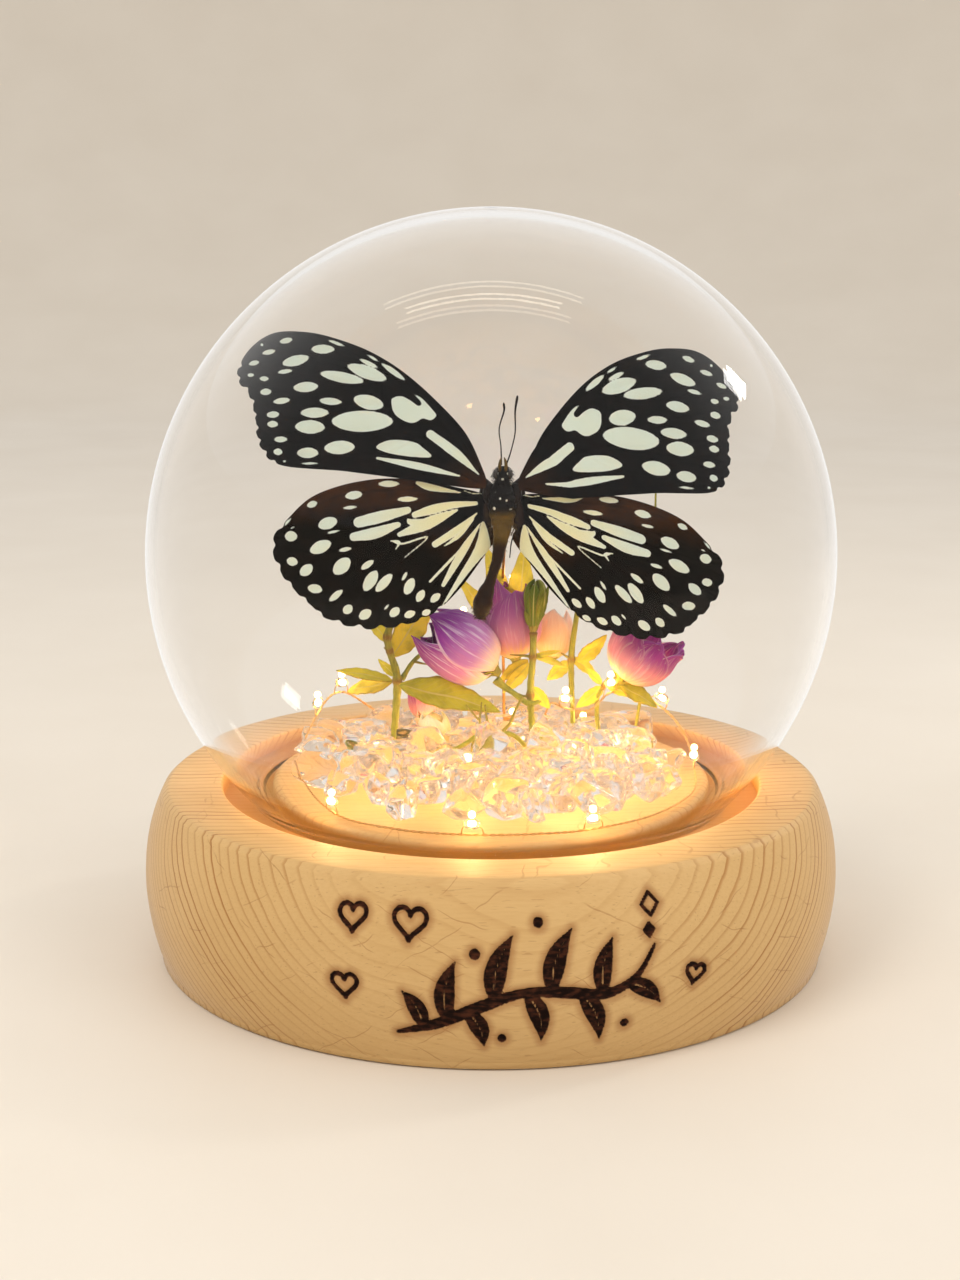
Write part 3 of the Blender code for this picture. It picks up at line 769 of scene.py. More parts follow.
# Outlines from the root, out along the wing and up
FOREWING = [(0.3, 0.2), (1.2, 3.6), (4.0, 9.3), (9.3, 15.1), (14.6, 19.7), (20.0, 23.0),
            (25.5, 25.1), (30.5, 26.2), (36.0, 26.0), (40.2, 23.1), (42.2, 18.9), (40.2, 15.6),
            (39.4, 11.5), (38.8, 7.5), (35.5, 4.0), (25.0, 2.9), (15.0, 1.5), (2.5, -0.4)]
HINDWING = [(0.9, -1.6), (5.8, -0.2), (11.1, 1.0), (15.3, 1.4), (20.5, 1.2), (25.5, 0.2),
            (30.5, -1.8), (34.2, -5.2), (36.9, -8.6), (36.7, -12.6), (34.6, -16.6),
            (31.2, -20.2), (28.2, -22.8), (24.0, -24.3), (19.5, -24.8), (13.5, -24.0),
            (9.0, -21.9), (4.8, -17.8), (1.2, -13.0), (-1.2, -9.6), (-1.4, -8.0), (0.7, -6.2),
            (0.9, -4.0)]
MARGIN = {"fore": ((41.2, 21.6), (35.5, 4.0)), "hind": ((34.2, -5.2), (7.0, -20.2))}

# Oval spots: out, up, length, width, and how their long axis rises outward in degrees
FORE_OVALS = [
    (33.9, 24.8, 2.2, 0.9, -12), (37.9, 24.1, 0.5, 0.5, 0), (36.8, 22.9, 2.2, 0.8, -12),
    (39.3, 21.1, 1.8, 0.8, -14), (39.9, 19.1, 1.1, 0.6, 0), (37.7, 18.5, 1.5, 0.8, 0),
    (37.5, 16.3, 1.9, 1.1, -4), (34.9, 14.8, 2.8, 1.0, -8), (36.4, 12.5, 2.1, 1.1, -5),
    (36.5, 10.9, 1.8, 1.1, 0), (35.2, 8.3, 2.2, 1.0, 0), (35.7, 6.2, 1.5, 1.1, 0),
    (34.6, 4.6, 0.6, 0.35, 0), (30.4, 4.2, 2.7, 0.4, 0), (34.2, 19.7, 2.4, 0.7, -8),
    (32.4, 21.5, 4.5, 1.7, -14), (27.8, 23.4, 3.8, 1.5, 0), (25.6, 24.4, 2.8, 0.5, 20),
    (30.8, 17.1, 4.1, 1.7, -4), (26.7, 14.7, 3.7, 1.2, 5), (29.4, 12.8, 4.7, 1.7, 0),
    (30.2, 10.4, 5.0, 2.3, 2), (30.7, 6.0, 3.6, 1.8, 0), (25.3, 6.9, 5.1, 2.3, -3),
    (24.7, 18.7, 7.3, 1.8, 11), (20.5, 19.5, 6.9, 2.1, 20), (20.2, 21.0, 3.3, 0.7, 26),
    (19.5, 21.9, 2.2, 0.4, 30), (16.1, 19.6, 4.7, 0.9, 36), (20.3, 14.5, 5.1, 2.4, 14),
    (21.4, 11.3, 10.3, 3.6, 0)]
HIND_OVALS = [
    (17.1, 0.5, 3.5, 1.1, 0), (23.1, -1.4, 2.9, 1.4, -8), (23.8, -3.5, 2.3, 0.6, -5),
    (30.2, -2.9, 1.8, 1.1, -20), (13.9, -2.2, 3.5, 0.9, 0), (27.6, -6.2, 3.4, 2.0, -20),
    (26.7, -7.7, 2.1, 0.4, -12), (33.9, -8.4, 2.1, 1.8, 0), (28.9, -10.3, 3.9, 2.1, -25),
    (24.7, -10.8, 2.2, 0.7, -12), (33.8, -12.8, 1.9, 1.5, 15), (31.4, -14.3, 2.6, 1.8, -40),
    (25.3, -13.7, 3.7, 2.4, -45), (20.9, -13.5, 2.6, 1.1, -35), (30.0, -17.6, 2.5, 1.6, 12),
    (26.4, -18.8, 2.9, 1.1, -40), (24.4, -21.3, 1.9, 1.6, -45), (21.4, -22.2, 2.4, 1.7, -35),
    (20.4, -16.3, 4.1, 2.0, -58), (18.1, -16.7, 4.0, 1.6, -48), (14.5, -15.6, 1.8, 0.6, -60),
    (13.7, -17.4, 3.1, 1.7, -65), (11.8, -19.1, 2.3, 1.4, -60), (9.2, -19.5, 2.1, 1.3, -40),
    (17.7, -21.0, 1.2, 0.4, -50), (16.3, -21.9, 2.1, 1.5, -45), (13.7, -22.3, 2.0, 1.3, -20),
    (10.8, -22.1, 1.6, 1.1, -20), (34.4, -5.9, 1.7, 0.4, -50), (33.6, -6.9, 0.7, 0.3, -20)]

# Streaks: brush strokes of (out, up, half width)
FORE_STREAKS = [[(1.6, 2.0, 0.1), (5.4, 5.6, 0.75), (9.9, 9.0, 0.7)],
                [(4.9, 1.8, 0.15), (12.0, 3.6, 0.62), (19.0, 5.05, 0.2)]]
HIND_STREAKS = [[(12.2, 0.6, 0.3), (10.0, -0.2, 0.6), (4.8, -1.2, 0.12)],
                [(4.3, -0.8, 0.1), (2.6, -1.4, 0.1), (1.1, -1.4, 0.1)],
                [(22.3, -6.1, 0.9), (18.2, -5.1, 1.0), (13.9, -4.1, 0.6)],
                [(23.2, -8.6, 0.7), (19.6, -8.0, 1.0), (15.6, -6.6, 0.5)],
                [(2.1, -3.1, 0.35), (6.0, -3.3, 0.6), (9.5, -4.0, 0.8), (12.7, -4.9, 0.5)],
                [(5.4, -4.2, 0.2), (10.4, -6.4, 1.05), (15.3, -8.3, 0.4)],
                [(10.4, -6.2, 0.6), (13.2, -6.2, 0.55), (13.9, -5.6, 0.1)],
                [(1.9, -4.8, 0.12), (5.0, -7.4, 0.6), (9.2, -10.1, 0.55)],
                [(2.4, -5.7, 0.1), (5.0, -8.6, 0.35), (7.6, -10.4, 0.1)],
                [(4.6, -10.8, 0.12), (7.0, -13.4, 0.22), (10.1, -16.6, 0.22)],
                [(1.4, -6.7, 0.12), (4.4, -11.4, 0.72), (7.8, -17.3, 0.35)],
                [(16.6, -9.4, 0.12), (14.8, -9.9, 0.16), (10.4, -8.8, 0.12), (14.6, -12.4, 0.1)],
                [(16.9, -9.4, 0.1), (15.4, -9.6, 0.2), (16.0, -10.8, 0.1)]]
# Spots of a shape of their own: the notched one and the flat-bottomed one by the forewing's
# cell, and the long one along the hindwing's inner edge
FORE_SHAPES = [[(16.4, 14.0), (16.3, 15.1), (14.9, 15.5), (13.5, 14.9), (11.9, 13.8),
                (11.4, 14.4), (12.6, 15.8), (11.1, 14.9), (9.3, 12.9), (8.9, 12.1), (9.8, 11.4),
                (11.2, 11.7), (12.3, 11.1), (13.5, 11.0), (15.3, 11.9), (16.1, 12.9)],
               [(19.1, 7.0), (16.7, 8.1), (12.8, 7.7), (11.2, 6.7), (9.8, 5.1), (14.6, 5.4),
                (17.7, 6.1)]]
HIND_SHAPES = [[(0.9, -6.1), (-0.4, -10.6), (1.2, -12.6), (3.4, -15.2), (8.1, -21.2),
                (5.4, -16.2), (2.3, -10.8)]]

# Veins: from the root through the cell and out to the margin
FORE_VEINS = [[(0.6, 1.4), (4.4, 8.4), (10.0, 14.4), (19.0, 20.6), (30.0, 25.3)],
              [(0.8, 1.2), (6.0, 9.6), (12.0, 15.9), (18.4, 18.2), (27.0, 20.8), (38.0, 24.8)],
              [(18.0, 18.1), (22.0, 16.9), (30.0, 18.6), (40.6, 20.4)],
              [(17.9, 18.0), (17.6, 13.6), (16.4, 9.8), (8.0, 6.6), (0.8, 1.0)],
              [(18.0, 13.6), (24.0, 13.6), (33.0, 15.8), (40.6, 17.4)],
              [(17.0, 13.0), (24.6, 13.4), (33.0, 11.6), (39.4, 14.2)],
              [(16.6, 9.6), (25.0, 9.0), (33.0, 9.2), (39.0, 9.4)],
              [(12.0, 8.4), (20.0, 5.6), (28.0, 8.0), (38.6, 7.2)],
              [(1.0, 0.6), (10.0, 3.9), (22.0, 5.4), (35.4, 4.6)]]
HIND_VEINS = [[(1.2, -2.2), (8.0, -1.2), (16.0, -0.6), (26.0, -1.6), (33.4, -5.4)],
              [(1.2, -2.4), (8.0, -2.6), (14.8, -3.2), (24.0, -4.6), (36.4, -8.4)],
              [(14.8, -3.2), (15.4, -5.6), (14.4, -9.6), (8.0, -7.6), (1.2, -4.2)],
              [(15.4, -5.6), (24.0, -7.3), (31.0, -8.8), (36.8, -11.2)],
              [(15.0, -8.8), (22.0, -10.0), (30.0, -12.4), (35.4, -15.4)],
              [(14.4, -9.6), (20.0, -12.4), (27.0, -16.6), (31.4, -20.0)],
              [(12.4, -9.2), (17.6, -14.4), (22.6, -20.0), (24.6, -24.0)],
              [(9.4, -8.2), (14.0, -14.0), (18.4, -19.6), (19.4, -24.6)],
              [(1.2, -5.6), (5.6, -11.6), (10.4, -18.2), (12.0, -23.2)],
              [(0.8, -6.0), (3.2, -11.4), (7.0, -17.6), (8.6, -21.4)]]


WINGS = {"fore": (FOREWING, FORE_OVALS, FORE_STREAKS, FORE_SHAPES, FORE_VEINS),
         "hind": (HINDWING, HIND_OVALS, HIND_STREAKS, HIND_SHAPES, HIND_VEINS)}
WAVES = {"fore": 9, "hind": 12}       # along the outer margin


def scalloped(line, pair):
    """Bites small waves out of the outer margin, one between each two veins."""
    ends = [int(np.argmin(norm(line - p, axis=1))) for p in MARGIN[pair]]
    first, last = min(ends), max(ends)
    edge = line[first:last + 1]
    run = np.arange(len(edge)) / (len(edge) - 1)
    waves = WAVES[pair]
    ahead = np.gradient(edge, axis=0)
    inward = np.stack([ahead[:, 1], -ahead[:, 0]], axis=1)
    inward /= norm(inward, axis=1)[:, None]
    bite = 0.55 * np.sin(run * waves * pi) ** 6 * np.sin(run * pi) ** 0.2
    bite += 0.12 * np.sin(run * waves * 5.3) * np.sin(run * pi)
    line[first:last + 1] = edge + inward * bite[:, None]
    return line


def wing_plan(pair):
    """The wing laid flat: its points, its triangles and what is drawn at each point."""
    outline, ovals, streaks, shapes, veins = WINGS[pair]
    line = scalloped(even(smooth(outline, 8, closed=True), WING_GRID, closed=True), pair)
    low, high = line.min(axis=0), line.max(axis=0)
    across = np.arange(low[0], high[0], WING_GRID)
    up = np.arange(low[1], high[1], WING_GRID * 0.87)
    grid = np.stack(np.meshgrid(across, up), axis=2)
    grid[1::2, :, 0] += WING_GRID / 2
    grid = grid.reshape(-1, 2)
    grid = grid[to_shape(grid, line) < -WING_GRID * 0.55]
    points = [Vector(p) for p in np.vstack([line, grid])]
    points, _, faces, *_ = delaunay_2d_cdt(points, [], [list(range(len(line)))], 1, 1e-5)
    at = np.array([tuple(p) for p in points])
    spot = [to_oval(at, *oval) for oval in ovals]
    spot += [to_stroke(at, smooth(s, 4)) for s in streaks]
    spot += [to_shape(at, smooth(s, 4, closed=True)) for s in shapes]
    vein = np.min([np.abs(to_stroke(at, [(*p, 0) for p in smooth(v, 6)])) for v in veins],
                  axis=0)
    out = np.hypot(*at.T)
    # inner and warm mark where glow of light through the wing is painted: yellower spots and warm
    # brown ground near the body
    inner = ease(out, 24, 7) if pair == "hind" else ease(out, 12, 2) * 0.4
    if pair == "hind":
        costa = ease(at[:, 1] + 0.06 * at[:, 0], -5.5, 0.5) * ease(at[:, 0], 5, 14)
        warm = np.maximum(costa, 0.75 * ease(out, 17, 9) * ease(at[:, 1], -6, -10))
    else:
        warm = 0.7 * ease(out, 9, 1)
    drawn = {"spot": np.min(spot, axis=0), "vein": vein, "inner": inner, "warm": warm}
    return at, [tuple(f) for f in faces], drawn


def set_of_wing(side, pair):
    """How a wing of this side lies in its plane. The right pair has settled: each wing there
    is turned down and drawn in a little, by (shift, along, across) for out and for up."""
    if side == "left":
        return (0, 1, 0), (0, 0, 1)
    if pair == "fore":
        return (1.51, 0.925, -0.164), (-1.87, -0.084, 1.067)
    return (-0.09, 0.939, -0.104), (-1.15, -0.094, 0.943)


def wings():
    """The four wings, bent and pleated, laid back by the dihedral from the body's sides."""
    paint = scale_paint()
    for pair, depth in (("fore", FORE_Y), ("hind", HIND_Y)):
        at, faces, drawn = wing_plan(pair)
        u, v = at.T
        # Ridges along the veins, soft pleats between them, and a slight droop to the tip
        lift = 0.11 * np.exp(-(drawn["vein"] / 0.2) ** 2) + 0.10 * ease(drawn["vein"], 0.2, 1.6)
        lift += 0.35 * np.sin(u / 42 * pi) - 0.0006 * u ** 2
        lift += 0.08 * np.sin(u * 0.9 + v * 0.5) * ease(np.hypot(u, v), 3, 12)
        for side, root, sign in (("left", LEFT_ROOT, 1), ("right", RIGHT_ROOT, -1)):
            out, up = set_of_wing(side, pair)
            t = np.minimum(1, np.hypot(u, v) / 9)
            x = -sign * (out[0] * t + out[1] * u + out[2] * v)
            z = up[0] * t + up[1] * u + up[2] * v
            turn = Euler((pi / 2, 0, sign * DIHEDRAL)).to_matrix()
            laid = np.stack([x, z, lift], axis=1) @ np.array(turn).T
            laid += (root[0], depth, root[1])
            shape = Shape(*drawn)
            shape.add(laid, faces if side == "right" else [f[::-1] for f in faces], **drawn)
            name = f"{pair}wing_{side}"
            thicken(piece(f"scaled_{name}", shape, [paint], [name]), WING_THICK)


# x, y, z and radius down the body's middle line
BODY = [(2.05, -5.0, 86.7, 0.45), (2.05, -5.1, 86.1, 1.0), (2.0, -5.2, 85.2, 1.35),
        (2.0, -5.2, 84.3, 1.15), (1.95, -4.9, 83.4, 1.6), (1.9, -4.6, 82.0, 2.25),
        (1.9, -4.6, 79.8, 2.4), (1.95, -4.8, 77.6, 2.1), (1.9, -5.4, 75.6, 1.6),
        (1.5, -6.0, 73.0, 1.2), (1.1, -6.1, 70.6, 1.0), (0.5, -6.1, 68.6, 0.9),
        (-0.1, -6.0, 66.8, 0.95), (-0.8, -5.9, 64.9, 1.4), (-1.4, -5.8, 62.9, 1.7),
        (-1.7, -5.7, 61.2, 1.35), (-1.8, -5.7, 60.1, 0.6)]
WAIST_Z, TAIL_Z = 76.4, 60.0
SEGMENTS = 8              # of the abdomen
HAIRS = 1500              # tried; most of those on the abdomen's middle are left out
NO_DOT = 9                # far from all pale dots and painted glints
# Pale spots of the head and thorax, set where glints shine: partly the butterfly's own spots,
# partly painted highlights
DOTS_AND_GLINTS = [(1.0, -6.35, 85.6, 0.30), (3.0, -6.35, 85.6, 0.30), (2.0, -6.55, 84.6, 0.26),
        (0.6, -6.6, 82.6, 0.34), (3.3, -6.6, 82.4, 0.32), (1.5, -7.0, 81.4, 0.26),
        (2.7, -7.0, 81.0, 0.26), (0.5, -6.7, 79.6, 0.32), (3.5, -6.6, 79.4, 0.32)]


def body_skin(shape):
    """Thorax and ringed abdomen, with how far each point is from the pale dots and painted glints.
    """
    line = smooth(BODY, 12)
    z = line[:, 2]
    tail = ease(z, WAIST_Z, WAIST_Z - 5)
    seam = (WAIST_Z - z) / (WAIST_Z - TAIL_Z) * SEGMENTS
    notch = np.where(z < WAIST_Z, np.abs(np.sin(seam * pi)), 1) ** 0.35
    line[:, 3] *= 0.88 + 0.12 * notch
    line[:, 3] *= 1 + 0.05 * np.sin(z * 4.2) * (z > WAIST_Z)
    # rear: the band round the waist that gets painted amber glow
    rear = ease(z, 79.5, 77.5) * ease(z, 72.5, 75.0)
    start = len(shape.points)
    shape.tube(line, 28, 0, tail=tail, rear=rear)
    made = np.array(shape.points[start:])
    near = [norm(made - p[:3], axis=1) - p[3] for p in DOTS_AND_GLINTS]
    shape.values["dot"][start:] = list(np.min(near, axis=0))


def ball(shape, middle, radii, paint, **values):
    """An egg form with its own radii along x, y and z."""
    a = np.linspace(0.05, pi - 0.05, 14)[:, None]
    b = circle(20)[None, :]
    rows = np.stack([np.sin(a) * np.cos(b), np.sin(a) * np.sin(b), np.cos(a) + 0 * b], axis=2)
    shape.sheet((np.array(middle) + rows * radii)[:, ::-1], paint, closed=True, caps=True,
                **values)


def hairs(shape, rng):
    """Hair on the head and thorax, longer on the flanks, and a short fringe at the tail."""
    line = smooth(BODY, 12)
    for _ in range(HAIRS):
        at = rng.choice(line)
        if WAIST_Z - 1.2 > at[2] > 64.0 and rng.random() < 0.86:
            continue
        angle = rng.uniform(0, 2 * pi)
        out = np.array((cos(angle), sin(angle), rng.uniform(-0.75, 0.1)))
        length = rng.uniform(0.5, 1.3) if at[2] > WAIST_Z - 1 else rng.uniform(0.25, 0.6)
        foot = at[:3] + out * at[3] * np.array((0.95, 0.95, 0))
        bend = foot + out * length * 0.6
        tip = bend + (out + np.array((0, 0, -0.7))) * length * 0.35
        # rear gives the hairs low on the thorax the painted golden glow
        shape.tube([(*foot, 0.035), (*bend, 0.028), (*tip, 0.006)], 3, 2,
                   along=(0, 0.5, 1), rear=ease(at[2], 81.0, 76.8))


# Legs folded under the body, on its far side: knees and feet
LEGS = [[(0.9, -2.9, 82.6, 0.2), (-1.4, -0.6, 84.0, 0.17), (-0.6, 1.0, 80.4, 0.13),
         (0.2, 0.6, 77.6, 0.09)],
        [(0.9, -2.6, 80.6, 0.2), (-2.2, -0.2, 80.8, 0.17), (-1.0, 1.6, 76.8, 0.13),
         (0.4, 1.0, 73.6, 0.09)],
        [(1.2, -2.9, 78.6, 0.2), (-1.2, -0.8, 77.2, 0.17), (0.2, 0.2, 73.0, 0.13),
         (0.6, -1.6, 70.2, 0.09)]]


def body():
    """Thorax, head with eyes, feelers and tongue, the waisted abdomen, legs and hair."""
    rng = random.Random(5)
    shape = Shape("tail", "rear", "dot", "along")
    body_skin(shape)
    for side in (-1, 1):
        ball(shape, (2.03 + side * 1.12, -5.35, 85.35), (0.62, 0.85, 0.92), 1, dot=NO_DOT)
        # The horny bases of the wings, filling the gap between thorax and wings
        ball(shape, (1.95 + side * 2.75, -3.6, 79.6), (1.45, 0.75, 4.5), 0, tail=1, dot=NO_DOT)
        ball(shape, (1.95 + side * 2.2, -4.3, 81.8), (1.2, 1.0, 1.9), 0, tail=0.4, dot=NO_DOT)
        palp = [(2.03 + side * 0.42, -6.0, 85.9, 0.24), (2.03 + side * 0.55, -6.4, 86.9, 0.30),
                (2.03 + side * 0.40, -6.2, 87.8, 0.22), (2.03 + side * 0.22, -5.9, 88.3, 0.06)]
        # The palps get most of the painted amber glow of the rear band
        shape.tube(smooth(palp, 5), 8, 0, tail=0.5, rear=0.8, dot=NO_DOT)
        for leg in LEGS:
            line = np.array(leg)
            line[:, 0] = 1.95 + side * (1.95 - line[:, 0])
            shape.tube(smooth(line, 6), 7, 0, tail=0.6, dot=NO_DOT)
    turn = np.linspace(0, 4.4 * pi, 60)
    reach = 0.75 - 0.5 * turn / turn[-1]
    tongue = np.stack([2.03 + 0 * turn, -3.6 + reach * np.sin(turn),
                       84.6 + reach * np.cos(turn), 0.09 + 0 * turn], axis=1)
    shape.tube(tongue, 6, 0, tail=0.7, dot=NO_DOT)
    hairs(shape, rng)
    piece("butterfly_trunk", shape, [chitin_paint(), eye_paint(), hair_paint()],
          ["butterfly_body"])


FEELER_R = 0.115
# x, y, z and thickness as a share of FEELER_R
ANTENNAE = {"left": [(1.8, -5.0, 86.9, 1.3), (1.7, -4.7, 90, 1), (1.4, -4.6, 93, 1),
                     (2.2, -4.6, 96.0, 1.4), (2.2, -4.6, 97.0, 1.9), (2.15, -4.6, 97.5, 0.8)],
            "right": [(2.6, -5.4, 86.9, 1.3), (3.4, -5.6, 89.3, 1), (4.1, -5.7, 92.5, 1),
                      (4.1, -5.7, 96, 1.4), (4.4, -5.7, 98.2, 2.0), (4.5, -5.7, 98.8, 0.8)]}


def antennae():
    """Ringed feelers that cross above the head and end in slim clubs."""
    for side, knots in ANTENNAE.items():
        line = even(smooth(knots, 14), 0.14)
        line[:, 3] *= FEELER_R * (1 + 0.10 * np.sin(np.arange(len(line)) * 1.7))
        shape = Shape("tail", "rear", "dot", "along")
        shape.tube(line, 8, tail=0.45, dot=NO_DOT)
        piece(f"feeler_{side}", shape, [chitin_paint()], [f"antenna_{side}"])


SUPPORT = [(2.9, -1.6, 79.0), (2.6, 0.6, 74.5), (2.3, 6.4, 68.6), (2.2, 12.2, 63.0),
           (2.2, 14.2, 56.0), (2.4, 14.4, 44.0), (2.6, 14.4, BASE_H + FLOOR_GAP)]


def support():
    """The stiff wire behind the butterfly, with a small loop under the thorax."""
    line = even(smooth([(*p, 0.28) for p in SUPPORT], 10), 0.5)
    shape = Shape()
    shape.tube(line, 12)
    turn = np.linspace(0, 3 * 2 * pi, 70)
    wrap = np.stack([2.85 + 0.62 * np.cos(turn), -1.3 + 0.62 * np.sin(turn),
                     77.4 + turn / turn[-1] * 1.5, 0.14 + 0 * turn], axis=1)
    shape.tube(wrap, 6)
    paint = wire_paint("brass_wire", srgb(206, 160, 92), srgb(140, 92, 48), 0.35)
    piece("holding_wire", shape, [paint], ["support_wire"])


# ---------------------------------------------------------------- plants

LOW = BASE_H + FLOOR_GAP

# Each stem: radius, and its middle line; a fourth number swells it there
STEMS = {
    "main": (0.62, [(7.7, 2, LOW), (7.5, 2, 38), (7.1, 2, 45), (7.5, 2, 51), (7.6, 2, 56.4)]),
    "left": (0.6, [(-17.5, 5, LOW), (-17.6, 5, 36), (-16.9, 5, 46.4, 1.25), (-18.1, 5, 51.5),
                   (-18.6, 5, 54.5, 1.15), (-17.7, 5, 58.5), (-17.4, 5, 66, 0.7)]),
    "left_branch": (0.4, [(-16.1, 5.4, 46.6, 1.3), (-14.2, 7.0, 49.4), (-11.6, 8.2, 51.6)]),
    "bud": (0.5, [(0.9, 1.5, 47.6, 1.7), (2.2, 1.4, 46.4, 1.3), (4.0, 1.2, 45.2),
                  (5.4, 0.8, 44.2), (6.9, 0.4, 43.4), (9.0, 0.2, 43.9, 0.7)]),
    "low": (0.42, [(-7.2, -4.4, 35.8), (-4.5, -4.2, 37.2), (-1.5, -3.6, 39.0),
                   (1.8, -2.8, 38.8, 1.3), (4.0, -2.0, 38.2), (5.6, -1.0, 36.6),
                   (6.2, 0.2, 35.6)]),
    "right": (0.42, [(20.0, 3, LOW), (19.4, 3, 37), (19.2, 3, 43.6), (20.6, 3, 46.4),
                     (22.0, 3, 48.0, 1.3)]),
    "middle": (0.45, [(15.4, 9, LOW), (15.0, 9, 40), (14.7, 9, 50, 1.3), (15.6, 9, 58),
                      (15.9, 9, 64, 0.7)]),
    "tall": (0.3, [(26.2, 12, LOW), (28.0, 12, 44), (29.6, 12, 62), (29.8, 12, 84, 0.5)]),
}
# Heights of each stem's joints, where it thickens
JOINTS = {"main": (44.6, 51.7, 56.0), "left": (46.4, 52.0, 54.6), "middle": (49.6,),
          "right": (46.0,)}
# Side twigs and thorns of each stem: x, y, z and radius
TWIGS = {
    "main": [[(7.2, 1.9, 44.4, 0.3), (5.9, 1.6, 44.5, 0.2), (5.0, 1.4, 45.0, 0.1)],
             [(7.4, 2.0, 51.6, 0.34), (5.8, 1.7, 51.9, 0.22), (3.4, 1.5, 52.1, 0.1)],
             [(7.5, 2.0, 57.0, 0.5), (8.6, 1.8, 58.4, 0.3), (9.6, 2.0, 59.4, 0.1)]],
    "left": [[(-18.4, 5, 52.0, 0.36), (-19.2, 4.6, 52.7, 0.12)],
             [(-17.0, 4.7, 46.2, 0.4), (-14.9, 4.4, 46.1, 0.12)]],
    "left_branch": [[(-13.9, 7.0, 49.6, 0.28), (-12.6, 6.4, 49.4, 0.2),
                     (-11.4, 6.2, 49.2, 0.1)]],
    "low": [[(1.9, -2.8, 38.9, 0.36), (3.4, -2.2, 40.4, 0.3), (4.3, -2.0, 42.6, 0.28),
             (5.6, -1.4, 45.0, 0.22)],
            [(0.6, -3.2, 39.0, 0.34), (-0.6, -3.2, 41.2, 0.24), (-1.0, -2.8, 44.0, 0.16)],
            [(-2.0, -3.8, 38.6, 0.3), (-3.2, -4.2, 37.2, 0.2), (-3.4, -4.2, 35.4, 0.12)],
            [(-1.8, -3.7, 39.0, 0.24), (-1.9, -3.8, 41.6, 0.2), (-1.6, -3.4, 44.6, 0.12)],
            [(-2.1, -3.7, 41.4, 0.2), (-3.6, -3.6, 43.2, 0.15), (-4.4, -3.4, 44.2, 0.06)]],
    "right": [[(20.4, 3, 46.0, 0.32), (22.6, 2.2, 46.4, 0.2), (24.0, 1.6, 46.6, 0.1)]],
    "middle": [[(15.0, 8.9, 49.4, 0.34), (12.8, 8.6, 50.8, 0.14)]],
}
# Small leaves of each stem's whorls: foot, tip, width, facing, tone
WHORLS = {
    "main": [((7.5, 1.7, 51.8), (14.0, 2.6, 49.8), 1.7, (0, -0.8, 1), 0.95),
             ((7.3, 2.4, 51.4), (12.4, 1.4, 53.0), 1.1, (0, -1, 0.6), 0.7),
             ((7.0, 2.6, 50.4), (2.2, 3.8, 44.2), 2.6, (0.3, -1, 0.2), 1.0),
             ((7.2, 2.8, 46.0), (10.8, 3.8, 41.4), 2.4, (-0.2, -1, 0.3), 0.9),
             ((4.3, 8.6, 50.6), (-0.3, 10.2, 70.2), 5.0, (0.3, -1, 0.1), 1.0),
             ((4.1, 8.8, 50.6), (-5.4, 9.6, 65.0), 4.2, (0.5, -1, 0.3), 0.9),
             ((4.6, 8.8, 50.6), (5.9, 10.6, 70.6), 5.4, (-0.2, -1, 0.1), 1.0)],
    "left": [((-18.2, 5.4, 53.2), (-22.6, 6.6, 58.6), 2.4, (0.4, -1, 0.3), 0.6),
             ((-17.3, 5.4, 47.2), (-20.2, 4.0, 50.6), 1.6, (-0.4, -1, 0.6), 0.35),
             ((-18.2, 5.6, 56.4), (-13.2, 9.6, 62.0), 2.6, (0.4, -1, 0.1), 0.8)],
    "middle": [((14.9, 9.2, 49.8), (19.6, 9.8, 46.4), 2.2, (0, -1, 0.5), 1.0),
               ((14.5, 9.2, 49.2), (10.2, 10.2, 45.2), 2.6, (0.3, -1, 0.4), 1.0)],
    "right": [((20.2, 2.8, 46.0), (15.4, 2.4, 42.0), 2.6, (0.5, -1, 0.4), 1.0),
              ((20.8, 2.6, 46.2), (26.4, 1.0, 44.6), 2.6, (0, -0.8, 1), 0.5),
              ((20.0, 3.2, 46.2), (17.0, 4.4, 49.4), 1.6, (0.2, -1, 0.4), 0.9)],
}


def aim(start, end, normal):
    """Where a flower or leaf points: its length and three directions, the last facing normal."""
    run = np.array(end, float) - start
    length = norm(run)
    ahead = run / length
    side = np.cross(normal, ahead)
    side /= norm(side)
    return length, ahead, side, np.cross(ahead, side)


def blade(shape, start, end, width, normal, tone, paint=0, droop=0.10, fold=0.22, rows=26):
    """A pointed leaf with raised veins, folded along its midrib and drooping to its tip."""
    length, ahead, side, up = aim(start, end, normal)
    t = np.linspace(0, 1, rows)[:, None]
    s = np.linspace(-1, 1, 13)[None, :]
    half = width / 2 * np.sin(pi * np.clip(t, 0.004, 0.996) ** 0.8) ** 0.8
    half = half * (1 + 0.05 * np.sin(t * 34 + tone * 9) * np.abs(s) ** 3)
    comb = np.abs(((t - 0.22 * np.abs(s)) / 0.09) % 1 - 0.5) * 2
    lift = fold * half * np.abs(s) ** 1.4 - droop * length * t ** 2
    lift = lift + 0.05 * comb * np.sin(pi * t) + 0.10 * half * np.sin(t * 9 + s * 2 + tone * 7)
    lift = lift - 0.12 * np.exp(-(s / 0.09) ** 2) * (1 - t)
    rows_at = (np.array(start) + ahead * (t * length)[..., None]
               + side * (half * s)[..., None] + up * lift[..., None])
    shape.sheet(rows_at, paint, along=t + 0 * s, across=s + 0 * t, tone=tone)


